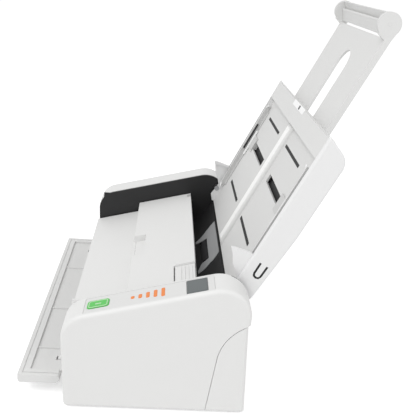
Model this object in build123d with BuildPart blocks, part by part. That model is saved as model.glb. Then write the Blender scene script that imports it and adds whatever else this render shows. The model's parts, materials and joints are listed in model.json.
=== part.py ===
import os
from math import atan2, cos, degrees, hypot, pi, radians, sin, sqrt, tan

from build123d import *

# Sheet-fed document scanner: X is its width, -Y the side where paper comes out, +Z up.
# All lengths in millimetres. Body sections are drawn in the body's own (y, z), the
# paper path in (u, w) along and above it, and the input tray in (t, n) from its pivot.

# Body
body_width = 300.0
body_front_y = -75.0
body_foot_z = 1.5
front_lean = 3.1
front_top_z = 85.4
front_top_radius = 22.0
pod_rear_y = 73.4
rear_top_radius = 25.0
corner_radius = 4.0
edge_round = 3.2
wall = 2.4
slope_angle = 15.7
pod_width = 28.9
inner_wall_thickness = 2.0
seam_top_y = 72.0
seam_top_z = 88.6
seam_mid_y = 56.6
seam_mid_z = 76.2
seam_low_y = 48.6
seam_low_z = 54.0
seam_foot_y = 43.2
seam_gap = 0.4
rear_foot_y = 77.6
rear_inset = 2.0
rear_wall_top_z = 86.0
fit_gap = 0.3
running_gap = 0.06
half_width = body_width / 2
inner_x = half_width - pod_width
wall_x = inner_x + inner_wall_thickness

# Paper path and what lines it
path_z = 53.5
path_arc_radius = 35.0
guide_clearance = 0.8
guide_thickness = 1.8
exit_u = -50.0
transport_u = -3.0
feed_u = 22.8
guide_front_u = -64.0
drive_radius = 7.0
feed_radius = 12.0
pickup_radius = 9.0
pickup_x = -22.0
pinch_radius = 5.0
separator_radius = 9.0
nip_gap = 0.3
shaft_radius = 3.0
thin_shaft_radius = 2.0
tyre_x = 55.0
tyre_width = 30.0
feed_tyre_width = 44.0
sensor_side_gap = 8.1
sensor_width = 2 * (inner_x - sensor_side_gap)
sensor_depth = 18.0
sensor_height = 12.5
lower_sensor_u = -21.0
upper_sensor_u = -25.0
lens_thickness = 1.6

# Gears, all of one module in one plane
gear_module = 1.0
gear_inset = 13.0
gear_x = -half_width + gear_inset
gear_width = 6.0
feed_teeth = 30
motor_teeth = 14
pickup_teeth = 18
pickup_idler_teeth = 16
transport_teeth = 16
transport_idler_teeth = 18
exit_teeth = 16
exit_idler_teeth = 32
motor_angle = -60.0
motor_radius = 16.0
motor_length = 26.0

# Top cover
cover_gap = 1.5
cover_half = inner_x - cover_gap
cover_top_depth = 19.3
cover_step_drop = 10.2
cover_wall = 2.2
cover_front_u = -75.5
cover_step_low_u = -25.6
cover_step_top_u = -21.5
cover_rear_u = 40.8
cover_pivot_y = -62.0
cover_pivot_z = 46.0
cover_pin_radius = 3.0
recess_x = -2.0
recess_width = 45.0
recess_depth = 12.0
release_inset = 41.6
release_x = cover_half - release_inset
release_width = 38.0
release_u = 30.0
release_depth = 19.0
release_gap = 1.3
release_travel = 1.5

# Control strip on the right-hand pod
panel_inset = 14.5
panel_x = half_width - panel_inset
panel_width = 22.6
panel_front_y = -60.5
panel_rear_y = 42.0
panel_thickness = 1.2
button_y = -49.5
button_length = 17.5
button_width = 11.5
button_travel = 0.8
screen_y = 28.2
screen_length = 17.0
screen_width = 20.5
lamp_y = -10.5
lamp_count = 5
lamp_pitch = 6.0
lamp_length = 3.0
lamp_width = 4.0
lamp_growth = 2.2

# Output tray
out_pivot_y = -83.5
out_pivot_z = 15.5
out_inset = 16.0
out_half_width = half_width - out_inset
out_length = 32.0
out_rear_gap = 3.0
out_top_rise = 4.0
out_thickness = 7.5
out_wall = 1.8
out_rim = 9.0
out_pin_radius = 1.5
out_ear_inset = 28.0
out_ear_x = out_half_width - out_ear_inset
out_ear_width = 5.0
out_rib_x = (-60.0, 26.0, out_half_width - 41.5)

# Input tray
tray_lean = 65.8
tray_pivot_y = 61.0
tray_pivot_z = 106.2
tray_side_gap = 3.4
tray_half_width = inner_x - tray_side_gap
tray_wall = 2.5
tray_length = 146.8
tray_front_n = 1.25
tray_back_n = -23.2
tray_lobe_radius = 18.8
tray_edge_round = 2.2
tray_pin_radius = 3.0
paper_n = -3.95
paper_thickness = 2.0
paper_low_t = -15.0
bar_height = 22.8
bar_low_t = tray_length - bar_height
ridge_x = 5.0
ridge_width = 10.0
ridge_height = 4.2
fin_low_t = 6.0
fin_tip_t = 29.0
fin_tip_n = 20.0
fin_thickness = 1.6
fin_lip = 3.2
fin_slit_high_x = tray_half_width - 0.8
fin_slit_low_x = fin_slit_high_x - fin_lip - 3.3
fin_slit_u = 36.6
ridge_slope = 16.0

# Paper guides and their rack and pinion
guide_inset = 9.5
guide_x = tray_half_width - guide_inset
guide_wall = 2.2
guide_low_t = 8.0
guide_top_gap = 8.0
guide_top_t = bar_low_t - guide_top_gap
guide_travel = 60.0
guide_slot_low_t = 69.0
guide_slot_top_t = 77.4
guide_foot_reach = 22.2
guide_foot_x = guide_x - guide_foot_reach
rack_thickness = 1.8
rack_width = 5.0
pinion_teeth = 12

# Extension and its flip-up stop
ext_half_width = 70.0
ext_front_n = -9.5
ext_thickness = 5.4
ext_skin = 2.0
ext_overlap = 50.8
ext_reach = 82.2
ext_low_t = tray_length - ext_overlap
ext_plate_t = tray_length + ext_reach
ext_slot_x = 6.0
ext_slot_half = 14.0
ext_slot_low_t = ext_low_t + 20.0
ext_slot_high_t = ext_plate_t - 36.0
ext_slot_tip = 16.0
stop_reach = 10.5
stop_t = ext_plate_t + stop_reach
stop_n = -6.5
stop_ear_radius = 9.8
stop_ear_width = 4.0
stop_pin_radius = 1.5

# Derived places
slope = radians(slope_angle)
lean = radians(tray_lean)
front_top_y = body_front_y - front_lean
pod_plane_z = front_top_z - front_top_y * tan(slope)
pod_rear_top_z = pod_plane_z + pod_rear_y * tan(slope)
path_depth = (pod_plane_z - path_z) * cos(slope)
cover_top_w = path_depth - cover_top_depth
cover_low_w = cover_top_w - cover_step_drop
out_front_y = out_pivot_y - out_length
ear_y = tray_pivot_y + stop_t * cos(lean) - stop_n * sin(lean)
body_y = -(out_front_y + ear_y + stop_ear_radius) / 2

os.makedirs("parts", exist_ok=True)


def side(x):
    """Body (y, z) at one x, drawn from the right-hand side."""
    return Plane(origin=(x, body_y, 0), x_dir=(0, 1, 0), z_dir=(1, 0, 0))


def path_side(x):
    """Paper path (u, w) at one x."""
    return Plane(origin=(x, body_y, path_z), x_dir=(0, cos(slope), sin(slope)), z_dir=(1, 0, 0))


def path_top(w):
    """Level (x, u) at a height w above the paper path."""
    origin = (0, body_y - w * sin(slope), path_z + w * cos(slope))
    return Plane(origin=origin, x_dir=(1, 0, 0), z_dir=(0, -sin(slope), cos(slope)))


def tray_side(x):
    """Input tray (t, n) at one x, t up the tray and n towards its front."""
    origin = (x, body_y + tray_pivot_y, tray_pivot_z)
    return Plane(origin=origin, x_dir=(0, cos(lean), sin(lean)), z_dir=(1, 0, 0))


def tray_face(n):
    """Input tray (x, t) on one level n, facing forwards."""
    origin = (0, body_y + tray_pivot_y - n * sin(lean), tray_pivot_z + n * cos(lean))
    return Plane(origin=origin, x_dir=(1, 0, 0), z_dir=(0, -sin(lean), cos(lean)))


def tray_across(t):
    """Section (x, -n) of the input tray at one place t, facing up the tray."""
    origin = (0, body_y + tray_pivot_y + t * cos(lean), tray_pivot_z + t * sin(lean))
    return Plane(origin=origin, x_dir=(1, 0, 0), z_dir=(0, cos(lean), sin(lean)))


def slab(plane, low, high, amount, mode=Mode.ADD):
    """A rectangle between two corners on a plane, extruded."""
    with BuildSketch(plane) as area:
        with Locations(((low[0] + high[0]) / 2, (low[1] + high[1]) / 2)):
            Rectangle(abs(high[0] - low[0]), abs(high[1] - low[1]))
    extrude(area.sketch, amount=amount, mode=mode)


def prism(plane, points, amount, mode=Mode.ADD):
    """A closed outline of straight lines, extruded."""
    with BuildSketch(plane) as area:
        with BuildLine():
            Polyline(*points, close=True)
        make_face()
    extrude(area.sketch, amount=amount, mode=mode)


def rod(plane, centre, radius, amount, mode=Mode.ADD):
    """A round bar or hole."""
    with BuildSketch(plane) as area:
        with Locations(centre):
            Circle(radius)
    extrude(area.sketch, amount=amount, mode=mode)


def path_to_body(u, w):
    """Body (y, z) of a point given along and above the paper path."""
    return (u * cos(slope) - w * sin(slope), path_z + u * sin(slope) + w * cos(slope))


def body_to_path(y, z):
    """Paper path (u, w) of a point given in the body's (y, z)."""
    rise = z - path_z
    return (y * cos(slope) + rise * sin(slope), rise * cos(slope) - y * sin(slope))


def save(shape, label):
    """Name a finished piece and write it."""
    shape.label = label
    export_step(shape, f"parts/{label}.step")


def pod_outline(plane, inset):
    """Side view of a pod: leaning front, sloped top and round shoulders."""
    corners = [
        (body_front_y, body_foot_z),
        (front_top_y, front_top_z),
        (pod_rear_y, pod_rear_top_z),
        (pod_rear_y, body_foot_z),
    ]
    with BuildSketch(plane) as area:
        with BuildLine():
            FilletPolyline(
                *corners,
                radius=[corner_radius, front_top_radius, rear_top_radius, corner_radius],
                close=True,
            )
        make_face()
        if inset > 0:
            offset(amount=-inset, kind=Kind.INTERSECTION)
    return area.sketch


def rear_outline(plane, inset):
    """Side view of the rear cover's outer skin, flared towards the foot."""
    corners = [
        (body_front_y, body_foot_z),
        (body_front_y, seam_top_z + wall),
        (pod_rear_y - rear_inset, seam_top_z + wall),
        (rear_foot_y, body_foot_z),
    ]
    with BuildSketch(plane) as area:
        with BuildLine():
            FilletPolyline(*corners, radius=corner_radius / 2, close=True)
        make_face()
        if inset > 0:
            offset(amount=-inset, kind=Kind.INTERSECTION)
    return area.sketch


def rear_region(plane, shift):
    """What lies behind the curved seam, moved backwards by shift."""
    top = (seam_top_y + shift, seam_top_z - shift)
    middle = (seam_mid_y + shift, seam_mid_z - shift)
    low = (seam_low_y + shift, seam_low_z)
    foot = (seam_foot_y + shift, 0)
    far_y = rear_foot_y + wall
    with BuildSketch(plane) as area:
        with BuildLine():
            ThreePointArc(top, middle, low)
            Line(low, foot)
            Line(foot, (far_y, 0))
            Line((far_y, 0), (far_y, top[1]))
            Line((far_y, top[1]), top)
        make_face()
    return area.sketch


# Pods: a hollow shell each side, open towards the middle, its rear foot cut off at the seam
def make_pod(sign):
    """One pod shell; sign is +1 for the right-hand side."""
    start = wall_x if sign > 0 else -half_width
    depth = half_width - wall_x
    with BuildPart() as pod:
        extrude(pod_outline(side(start), 0), amount=depth)
        outer = pod.faces().sort_by(Axis.X)[-1 if sign > 0 else 0]
        fillet(outer.edges(), radius=edge_round)
        hollow_start = wall_x if sign > 0 else -half_width + wall
        extrude(pod_outline(side(hollow_start), wall), amount=depth - wall, mode=Mode.SUBTRACT)
        extrude(rear_region(side(start), 0), amount=depth, mode=Mode.SUBTRACT)
        if sign > 0:
            pocket_panel()
    return pod.part


def pod_top(height):
    """Level (x, along the slope) on the pods' top plane, raised by height."""
    return path_top(path_depth + height)


def along(y):
    """Distance along the slope of a point on the pods' top plane at this y."""
    return body_to_path(y, pod_plane_z + y * tan(slope))[0]


def strip(low_y, high_y, width, base, amount, corner, mode=Mode.ADD, centre=panel_x):
    """A round-cornered plate on the pod's top plane."""
    low = along(low_y)
    high = along(high_y)
    with BuildSketch(pod_top(base)) as area:
        with Locations((centre, (low + high) / 2)):
            RectangleRounded(width, high - low, corner)
    extrude(area.sketch, amount=amount, mode=mode)


def pocket_panel():
    """Pocket and openings for the control strip, button and screen."""
    strip(panel_front_y, panel_rear_y, panel_width, 1, -1 - panel_thickness, 1.5, Mode.SUBTRACT)
    cut = -wall - 2
    button_half = button_length / 2 - 1
    strip(button_y - button_half, button_y + button_half, button_width - 2, 1, cut, 2, Mode.SUBTRACT)
    screen_half = screen_length / 2 - 1
    strip(screen_y - screen_half, screen_y + screen_half, screen_width - 2, 1, cut, 0.5, Mode.SUBTRACT)


save(make_pod(1), "right_pod")
save(make_pod(-1), "left_pod")


# Shaft centres, all in body (y, z)
feed_axis = path_to_body(feed_u, -feed_radius)
transport_axis = path_to_body(transport_u, -drive_radius)
exit_axis = path_to_body(exit_u, -drive_radius)

# The paper comes down the tray's face, then turns into the path on an arc
turn = lean - slope
paper_y = tray_pivot_y - paper_n * sin(lean)
paper_z = tray_pivot_z + paper_n * cos(lean)
paper_fall = (paper_z - path_z - paper_y * tan(slope)) / (sin(lean) - cos(lean) * tan(slope))
corner_y = paper_y - paper_fall * cos(lean)
corner_z = paper_z - paper_fall * sin(lean)
corner_u = body_to_path(corner_y, corner_z)[0]
arc_u = corner_u - path_arc_radius * tan(turn / 2)
pickup_turn = turn / 2
pickup_reach = path_arc_radius + pickup_radius
pickup_axis = path_to_body(
    arc_u + pickup_reach * sin(pickup_turn),
    path_arc_radius - pickup_reach * cos(pickup_turn),
)


def polar(centre, radius, angle):
    """Point at a radius and an angle in degrees."""
    return (centre[0] + radius * cos(radians(angle)), centre[1] + radius * sin(radians(angle)))


def between(first, second, reach_first, reach_second, sign):
    """Centre that lies at the two given distances from two others, on one side."""
    dy = second[0] - first[0]
    dz = second[1] - first[1]
    span = hypot(dy, dz)
    share = (reach_first**2 - reach_second**2 + span**2) / (2 * span)
    rise = sign * sqrt(reach_first**2 - share**2)
    return (
        first[0] + (share * dy - rise * dz) / span,
        first[1] + (share * dz + rise * dy) / span,
    )


def pitch_radius(teeth):
    return gear_module * teeth / 2


mesh_gap = 0.05
motor_axis = polar(feed_axis, pitch_radius(feed_teeth + motor_teeth) + mesh_gap, motor_angle)


def reach(first_teeth, second_teeth):
    """Centre distance of two gears in mesh."""
    return pitch_radius(first_teeth + second_teeth) + mesh_gap


pickup_idler_axis = between(
    feed_axis, pickup_axis,
    reach(feed_teeth, pickup_idler_teeth), reach(pickup_idler_teeth, pickup_teeth), -1,
)
transport_idler_axis = between(
    feed_axis, transport_axis,
    reach(feed_teeth, transport_idler_teeth), reach(transport_idler_teeth, transport_teeth), 1,
)
exit_idler_axis = between(
    transport_axis, exit_axis,
    reach(transport_teeth, exit_idler_teeth), reach(exit_idler_teeth, exit_teeth), 1,
)
driven_axes = [feed_axis, pickup_axis, transport_axis, exit_axis]
idler_axes = [pickup_idler_axis, transport_idler_axis, exit_idler_axis]
bush_radius = shaft_radius + 2.0
cover_pivot = (cover_pivot_y, cover_pivot_z)
tray_pivot = (tray_pivot_y, tray_pivot_z)


# Inner walls: the dark cheeks between the pods and the middle
def make_inner_wall(sign):
    """One cheek with its holes for shafts, pins and the motor."""
    start = inner_x if sign > 0 else -wall_x
    with BuildPart() as cheek:
        extrude(pod_outline(side(start), 0.5), amount=inner_wall_thickness)
        extrude(rear_region(side(start), 0), amount=inner_wall_thickness, mode=Mode.SUBTRACT)
        behind = rear_outline(side(start), wall + fit_gap)
        extrude(behind, amount=inner_wall_thickness)
        for axis in driven_axes:
            rod(side(start), axis, bush_radius, inner_wall_thickness, Mode.SUBTRACT)
        rod(side(start), cover_pivot, cover_pin_radius + running_gap, inner_wall_thickness, Mode.SUBTRACT)
        rod(side(start), tray_pivot, tray_pin_radius + running_gap, inner_wall_thickness, Mode.SUBTRACT)
        if sign < 0:
            rod(side(start), motor_axis, bush_radius, inner_wall_thickness, Mode.SUBTRACT)
            for axis in idler_axes:
                rod(side(start), axis, thin_shaft_radius, inner_wall_thickness, Mode.SUBTRACT)
    return cheek.part


save(make_inner_wall(1), "right_inner_wall")
save(make_inner_wall(-1), "left_inner_wall")

# Rear cover: back skin with a wing round each side, lower between the pods
socket_z = 22.0
usb_x = 40.0
usb_width = 12.0
usb_height = 10.6
power_x = 72.0
power_radius = 5.0
with BuildPart() as rear_cover:
    extrude(rear_outline(side(-half_width), 0), amount=body_width)
    for end in (0, -1):
        fillet(rear_cover.faces().sort_by(Axis.X)[end].edges(), radius=edge_round)
    inside = rear_outline(side(-half_width + wall), wall)
    extrude(inside, amount=body_width - 2 * wall, mode=Mode.SUBTRACT)
    kept = rear_region(side(-half_width), seam_gap)
    extrude(kept, amount=body_width, mode=Mode.INTERSECT)
    notch = [(45, rear_wall_top_z), (90, rear_wall_top_z), (90, 100), (45, 100)]
    prism(side(-wall_x), notch, 2 * wall_x, Mode.SUBTRACT)
    under = [(40, 0), (rear_foot_y - wall, 0), (rear_foot_y - wall, 4.2), (40, 4.2)]
    prism(side(-wall_x), under, 2 * wall_x, Mode.SUBTRACT)
    back = Plane(origin=(0, body_y + 60, 0), x_dir=(1, 0, 0), z_dir=(0, 1, 0))
    slab(back, (usb_x - usb_width / 2, -socket_z - usb_height / 2),
         (usb_x + usb_width / 2, -socket_z + usb_height / 2), 30, Mode.SUBTRACT)
    rod(back, (power_x, -socket_z), power_radius, 30, Mode.SUBTRACT)
save(rear_cover.part, "rear_cover")

# Base plate with its screw bosses and the motor's cradle, feet and front panel
base_thickness = 2.5
base_half = inner_x
base_front_y = body_front_y + wall + 1.0
base_rear_y = rear_foot_y - wall - 0.6
foot_inset = 22.0
foot_x = half_width - foot_inset
foot_front_y = -58.0
foot_rear_y = 62.0
foot_radius = 7.0
foot_height = 1.5
foot_places = [(x, y) for x in (-foot_x, foot_x) for y in (foot_front_y, foot_rear_y)]
boss_x = inner_x - 16.1
boss_front_y = -45.0
boss_rear_y = 58.0
boss_radius = 3.5
boss_height = 10.0
boss_hole = 1.2
cradle_half = 13.0
cradle_end_gap = 3.0
boss_places = [(x, y) for x in (-boss_x, boss_x) for y in (boss_front_y, boss_rear_y)]
base_plane = Plane(origin=(0, body_y, body_foot_z))
with BuildPart() as base:
    slab(base_plane, (-base_half, base_front_y), (base_half, base_rear_y), base_thickness)
    fillet(base.edges().filter_by(Axis.Z), radius=2)
    with Locations(base_plane):
        with Locations(*[(x, y, base_thickness) for x, y in boss_places]):
            Cylinder(boss_radius, boss_height, align=(Align.CENTER, Align.CENTER, Align.MIN))
            Cylinder(boss_hole, boss_height, align=(Align.CENTER, Align.CENTER, Align.MIN),
                     mode=Mode.SUBTRACT)
    cradle = side(-inner_x + cradle_end_gap)
    cradle_length = motor_length - 2 * cradle_end_gap
    slab(cradle, (motor_axis[0] - cradle_half, body_foot_z + base_thickness),
         (motor_axis[0] + cradle_half, motor_axis[1] - 3), cradle_length)
    rod(cradle, motor_axis, motor_radius, cradle_length, Mode.SUBTRACT)
save(base.part, "base_plate")

with BuildPart() as feet:
    with BuildSketch(Plane(origin=(0, body_y, 0))) as pads:
        with Locations(*foot_places):
            Circle(foot_radius)
    extrude(pads.sketch, amount=foot_height)
    fillet(feet.edges().group_by(Axis.Z)[0], radius=0.5)
save(feet.part, "rubber_feet")

panel_wall_y = -78.0
panel_wall_top = 30.0
base_top = body_foot_z + base_thickness
ear_radius = 3.2
with BuildPart() as front_panel:
    back_y = panel_wall_y + wall
    shelf_top = path_to_body(guide_front_u + 1.0, -guide_clearance - guide_thickness)[1] - 0.3
    section = [
        (panel_wall_y, body_foot_z),
        (panel_wall_y, panel_wall_top),
        (-62.0, shelf_top),
        (-62.0, shelf_top - wall),
        (back_y, panel_wall_top - wall - 0.6),
        (back_y, base_top + wall),
        (back_y + 6, base_top + wall),
        (back_y + 6, base_top),
        (back_y, base_top),
        (back_y, body_foot_z),
    ]
    prism(side(-inner_x), section, 2 * inner_x)
    for x in (-out_ear_x, out_ear_x):
        ear = [
            (panel_wall_y, out_pivot_z - 8.0),
            (panel_wall_y, out_pivot_z + ear_radius),
            (out_pivot_y, out_pivot_z + ear_radius),
            (out_pivot_y, out_pivot_z - ear_radius),
        ]
        prism(side(x - out_ear_width / 2), ear, out_ear_width)
        rod(side(x - out_ear_width / 2), (out_pivot_y, out_pivot_z), ear_radius, out_ear_width)
        rod(side(x - out_ear_width / 2), (out_pivot_y, out_pivot_z), out_pin_radius + running_gap,
            out_ear_width, Mode.SUBTRACT)
save(front_panel.part, "front_panel")

# Lower paper guide: one dark plate along the path, with windows for tyres and glass
guide_low_w = -guide_clearance - guide_thickness


def window(u, radius, places, width, level, thickness, mode=Mode.SUBTRACT):
    """Openings that tyres of a given radius come up through."""
    depth = radius - abs(level)
    half = sqrt(radius**2 - depth**2) + 1.2
    plane = path_top(level)
    for x in places:
        slab(plane, (x - width / 2 - 1, u - half), (x + width / 2 + 1, u + half), thickness, mode)


def lens_window(plane, u, clearance, thickness):
    """Opening for a strip of glass."""
    half_x = sensor_width / 2 - 3 + clearance
    half_u = sensor_depth / 2 - 2 + clearance
    slab(plane, (-half_x, u - half_u), (half_x, u + half_u), thickness, Mode.SUBTRACT)


tyre_places = (-tyre_x, tyre_x)
with BuildPart() as lower_guide:
    slab(path_top(guide_low_w), (-inner_x, guide_front_u), (inner_x, arc_u), guide_thickness)
    window(feed_u, feed_radius, (0,), feed_tyre_width, guide_low_w, guide_thickness)
    window(transport_u, drive_radius, tyre_places, tyre_width, guide_low_w, guide_thickness)
    window(exit_u, drive_radius, tyre_places, tyre_width, guide_low_w, guide_thickness)
    lens_window(path_top(guide_low_w), lower_sensor_u, 0.2, guide_thickness)
save(lower_guide.part, "lower_paper_guide")

# Entry chute: carries the path round its arc and up to the foot of the input tray,
# then round under the tray's swinging foot to the rear cover
arc_centre = (arc_u, path_arc_radius)
chute_radius = path_arc_radius + guide_clearance
swing_radius = tray_lobe_radius + 1.2
chute_top = sqrt(swing_radius**2 - (paper_n - guide_clearance) ** 2)


def tray_to_path(t, n):
    """Paper path (u, w) of a point given in the tray's (t, n)."""
    y = tray_pivot_y + t * cos(lean) - n * sin(lean)
    z = tray_pivot_z + t * sin(lean) + n * cos(lean)
    return body_to_path(y, z)


pivot_path = tray_to_path(0, 0)
cradle_outer = swing_radius + guide_thickness
chute_inner_foot = (arc_u, -guide_clearance)
chute_outer_foot = (arc_u, guide_low_w)
turn_mid = turn / 2


def on_chute(radius, angle):
    return (arc_centre[0] + radius * sin(angle), arc_centre[1] - radius * cos(angle))


outer_chute_radius = chute_radius + guide_thickness
start_inner = tray_to_path(-chute_top, paper_n - guide_clearance)
outer_top = sqrt(cradle_outer**2 - (paper_n - guide_clearance - guide_thickness) ** 2)
start_outer = tray_to_path(-outer_top, paper_n - guide_clearance - guide_thickness)
cradle_end_angle = -slope_angle - 62.0


def on_cradle(radius, angle):
    return polar(pivot_path, radius, angle)


start_inner_angle = degrees(atan2(start_inner[1] - pivot_path[1], start_inner[0] - pivot_path[0]))
start_outer_angle = degrees(atan2(start_outer[1] - pivot_path[1], start_outer[0] - pivot_path[0]))
with BuildPart() as chute:
    with BuildSketch(path_side(-inner_x)) as section:
        with BuildLine():
            Line(chute_outer_foot, chute_inner_foot)
            ThreePointArc(chute_inner_foot, on_chute(chute_radius, turn_mid), on_chute(chute_radius, turn))
            Line(on_chute(chute_radius, turn), start_inner)
            middle_angle = (start_inner_angle + cradle_end_angle) / 2
            ThreePointArc(start_inner, on_cradle(swing_radius, middle_angle),
                          on_cradle(swing_radius, cradle_end_angle))
            Line(on_cradle(swing_radius, cradle_end_angle), on_cradle(cradle_outer, cradle_end_angle))
            middle_angle = (start_outer_angle + cradle_end_angle) / 2
            ThreePointArc(on_cradle(cradle_outer, cradle_end_angle),
                          on_cradle(cradle_outer, middle_angle), start_outer)
            Line(start_outer, on_chute(outer_chute_radius, turn))
            ThreePointArc(on_chute(outer_chute_radius, turn),
                          on_chute(outer_chute_radius, turn_mid), chute_outer_foot)
        make_face()
    extrude(section.sketch, amount=2 * inner_x)
    tyre_half = feed_tyre_width / 2 + 1
    rod(side(pickup_x - tyre_half), pickup_axis, pickup_radius + 1.0, 2 * tyre_half, Mode.SUBTRACT)
save(chute.part, "entry_chute")

# Frame round the pickup tyre: a bar across the chute's top and two arms down its arc
pickup_frame_low_x = -64.0
pickup_frame_high_x = 20.0
frame_thickness = 0.7
frame_arm = 9.0
arm_turn = turn - radians(34.0)
frame_radius = chute_radius - frame_thickness
arm_mid = (turn + arm_turn) / 2
fall = hypot(start_inner[0] - on_chute(chute_radius, turn)[0],
             start_inner[1] - on_chute(chute_radius, turn)[1])
frame_top = fall - 0.8


def up_chute(radius, distance):
    """Point beyond the arc's upper end, along the straight part."""
    end = on_chute(radius, turn)
    return (end[0] + distance * cos(turn), end[1] + distance * sin(turn))


with BuildPart() as pickup_frame:
    for arm_x in (pickup_frame_low_x, pickup_frame_high_x - frame_arm):
        with BuildSketch(path_side(arm_x)) as arm:
            with BuildLine():
                ThreePointArc(on_chute(chute_radius, arm_turn), on_chute(chute_radius, arm_mid),
                              on_chute(chute_radius, turn))
                Line(on_chute(chute_radius, turn), up_chute(chute_radius, frame_top))
                Line(up_chute(chute_radius, frame_top), up_chute(frame_radius, frame_top))
                Line(up_chute(frame_radius, frame_top), on_chute(frame_radius, turn))
                ThreePointArc(on_chute(frame_radius, turn), on_chute(frame_radius, arm_mid),
                              on_chute(frame_radius, arm_turn))
                Line(on_chute(frame_radius, arm_turn), on_chute(chute_radius, arm_turn))
            make_face()
        extrude(arm.sketch, amount=frame_arm)
    across = [up_chute(chute_radius, 0.5), up_chute(chute_radius, frame_top),
              up_chute(frame_radius, frame_top), up_chute(frame_radius, 0.5)]
    prism(path_side(pickup_frame_low_x), across, pickup_frame_high_x - pickup_frame_low_x)
save(pickup_frame.part, "pickup_frame")


# Scanning bars: a dark housing with a strip of glass let into it
def make_sensor(u, sign):
    """Housing above (+1) or below (-1) the path."""
    face = guide_clearance + guide_thickness
    base_w = sign * face
    half_x = sensor_width / 2
    half_u = sensor_depth / 2
    with BuildPart() as sensor:
        slab(path_top(base_w), (-half_x, u - half_u), (half_x, u + half_u), sign * sensor_height)
    return sensor.part


def make_lens(u, sign):
    """Glass strip that fills the guide's window, just short of the paper."""
    base_w = sign * (guide_clearance + guide_thickness)
    half_x = sensor_width / 2 - 3
    half_u = sensor_depth / 2 - 2
    with BuildPart() as lens:
        slab(path_top(base_w), (-half_x, u - half_u), (half_x, u + half_u), -sign * lens_thickness)
    return lens.part


save(make_sensor(lower_sensor_u, -1), "lower_sensor_bar")
save(make_lens(lower_sensor_u, -1), "lower_glass")
save(make_sensor(upper_sensor_u, 1), "upper_sensor_bar")
save(make_lens(upper_sensor_u, 1), "upper_glass")

# Shafts and their tyres
gear_end_x = gear_x - 1.0
right_end_x = wall_x + 2.0


def make_shaft(axis, radius, low_x, high_x):
    """A plain round shaft along X."""
    with BuildPart() as shaft:
        rod(side(low_x), axis, radius, high_x - low_x)
        chamfer(shaft.edges().filter_by(GeomType.CIRCLE), length=0.4)
    return shaft.part


def make_tyres(axis, radius, core, places, width):
    """Rubber sleeves on a shaft, their rims slightly rounded."""
    with BuildPart() as tyres:
        for x in places:
            rod(side(x - width / 2), axis, radius, width)
        fillet(tyres.edges().filter_by(GeomType.CIRCLE), radius=0.6)
        for x in places:
            rod(side(x - width / 2), axis, core, width, Mode.SUBTRACT)
    return tyres.part


driven = {
    "feed": (feed_axis, feed_radius, (0,), feed_tyre_width),
    "pickup": (pickup_axis, pickup_radius, (pickup_x,), feed_tyre_width),
    "transport": (transport_axis, drive_radius, tyre_places, tyre_width),
    "exit": (exit_axis, drive_radius, tyre_places, tyre_width),
}
for name, (axis, radius, places, width) in driven.items():
    save(make_shaft(axis, shaft_radius, gear_end_x, right_end_x), f"{name}_shaft")
    save(make_tyres(axis, radius, shaft_radius, places, width), f"{name}_roller")

separator_axis = path_to_body(feed_u, separator_radius + nip_gap)
transport_pinch_axis = path_to_body(transport_u, pinch_radius + nip_gap)
exit_pinch_axis = path_to_body(exit_u, pinch_radius + nip_gap)


def make_idler_roller(axis, radius, core, places, width, half_length):
    """Free roller of the top cover: its sleeves and its shaft in one piece."""
    with BuildPart() as roller:
        rod(side(-half_length), axis, core, 2 * half_length)
        for x in places:
            rod(side(x - width / 2), axis, radius, width)
    return roller.part


bracket_x = 78.0
bracket_thickness = 2.5
separator_bracket_x = 27.0
separator_sleeve = feed_tyre_width - 4
save(make_idler_roller(separator_axis, separator_radius, shaft_radius, (0,), separator_sleeve,
                       separator_bracket_x + bracket_thickness), "separation_roller")
for name, axis in (("transport", transport_pinch_axis), ("exit", exit_pinch_axis)):
    pinch = make_idler_roller(axis, pinch_radius, thin_shaft_radius, tyre_places, tyre_width - 6,
                              bracket_x + bracket_thickness)
    save(pinch, f"{name}_pinch_roller")

# Bushes in the cheeks, one for each driven shaft at each end
with BuildPart() as bushes:
    for x in (inner_x, -wall_x):
        for axis in driven_axes:
            rod(side(x), axis, bush_radius, inner_wall_thickness)
            rod(side(x), axis, shaft_radius + running_gap, inner_wall_thickness, Mode.SUBTRACT)
save(bushes.part, "shaft_bushes")


# Gears: straight-flanked teeth with a little backlash, drawn tooth by tooth
def gear_area(plane, centre, teeth, phase, bore):
    """Gear profile with a tooth at the angle phase, in degrees."""
    pitch = pitch_radius(teeth)
    tip = pitch + 0.75 * gear_module
    root = pitch - 1.05 * gear_module
    widths = [(root - 0.3, 0.95), (pitch, 0.64), (tip, 0.26)]
    with BuildSketch(plane) as area:
        with Locations(centre):
            Circle(root)
        for tooth in range(teeth):
            angle = phase + 360 * tooth / teeth
            left = [polar(centre, r, angle + degrees(w * gear_module / r)) for r, w in widths]
            right = [polar(centre, r, angle - degrees(w * gear_module / r)) for r, w in widths]
            with BuildLine():
                Polyline(*left, *reversed(right), close=True)
            make_face()
        with Locations(centre):
            Circle(bore, mode=Mode.SUBTRACT)
    return area.sketch


def make_gear(centre, teeth, phase, bore):
    with BuildPart() as gear:
        extrude(gear_area(side(gear_x), centre, teeth, phase, bore), amount=gear_width)
    return gear.part


def meshed(first, first_teeth, first_phase, second, second_teeth):
    """Phase of a second gear so that its gap faces the first gear's tooth."""
    heading = degrees(atan2(second[1] - first[1], second[0] - first[0]))
    lead = first_teeth * (first_phase - heading) + 180
    return heading + 180 - lead / second_teeth


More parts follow.
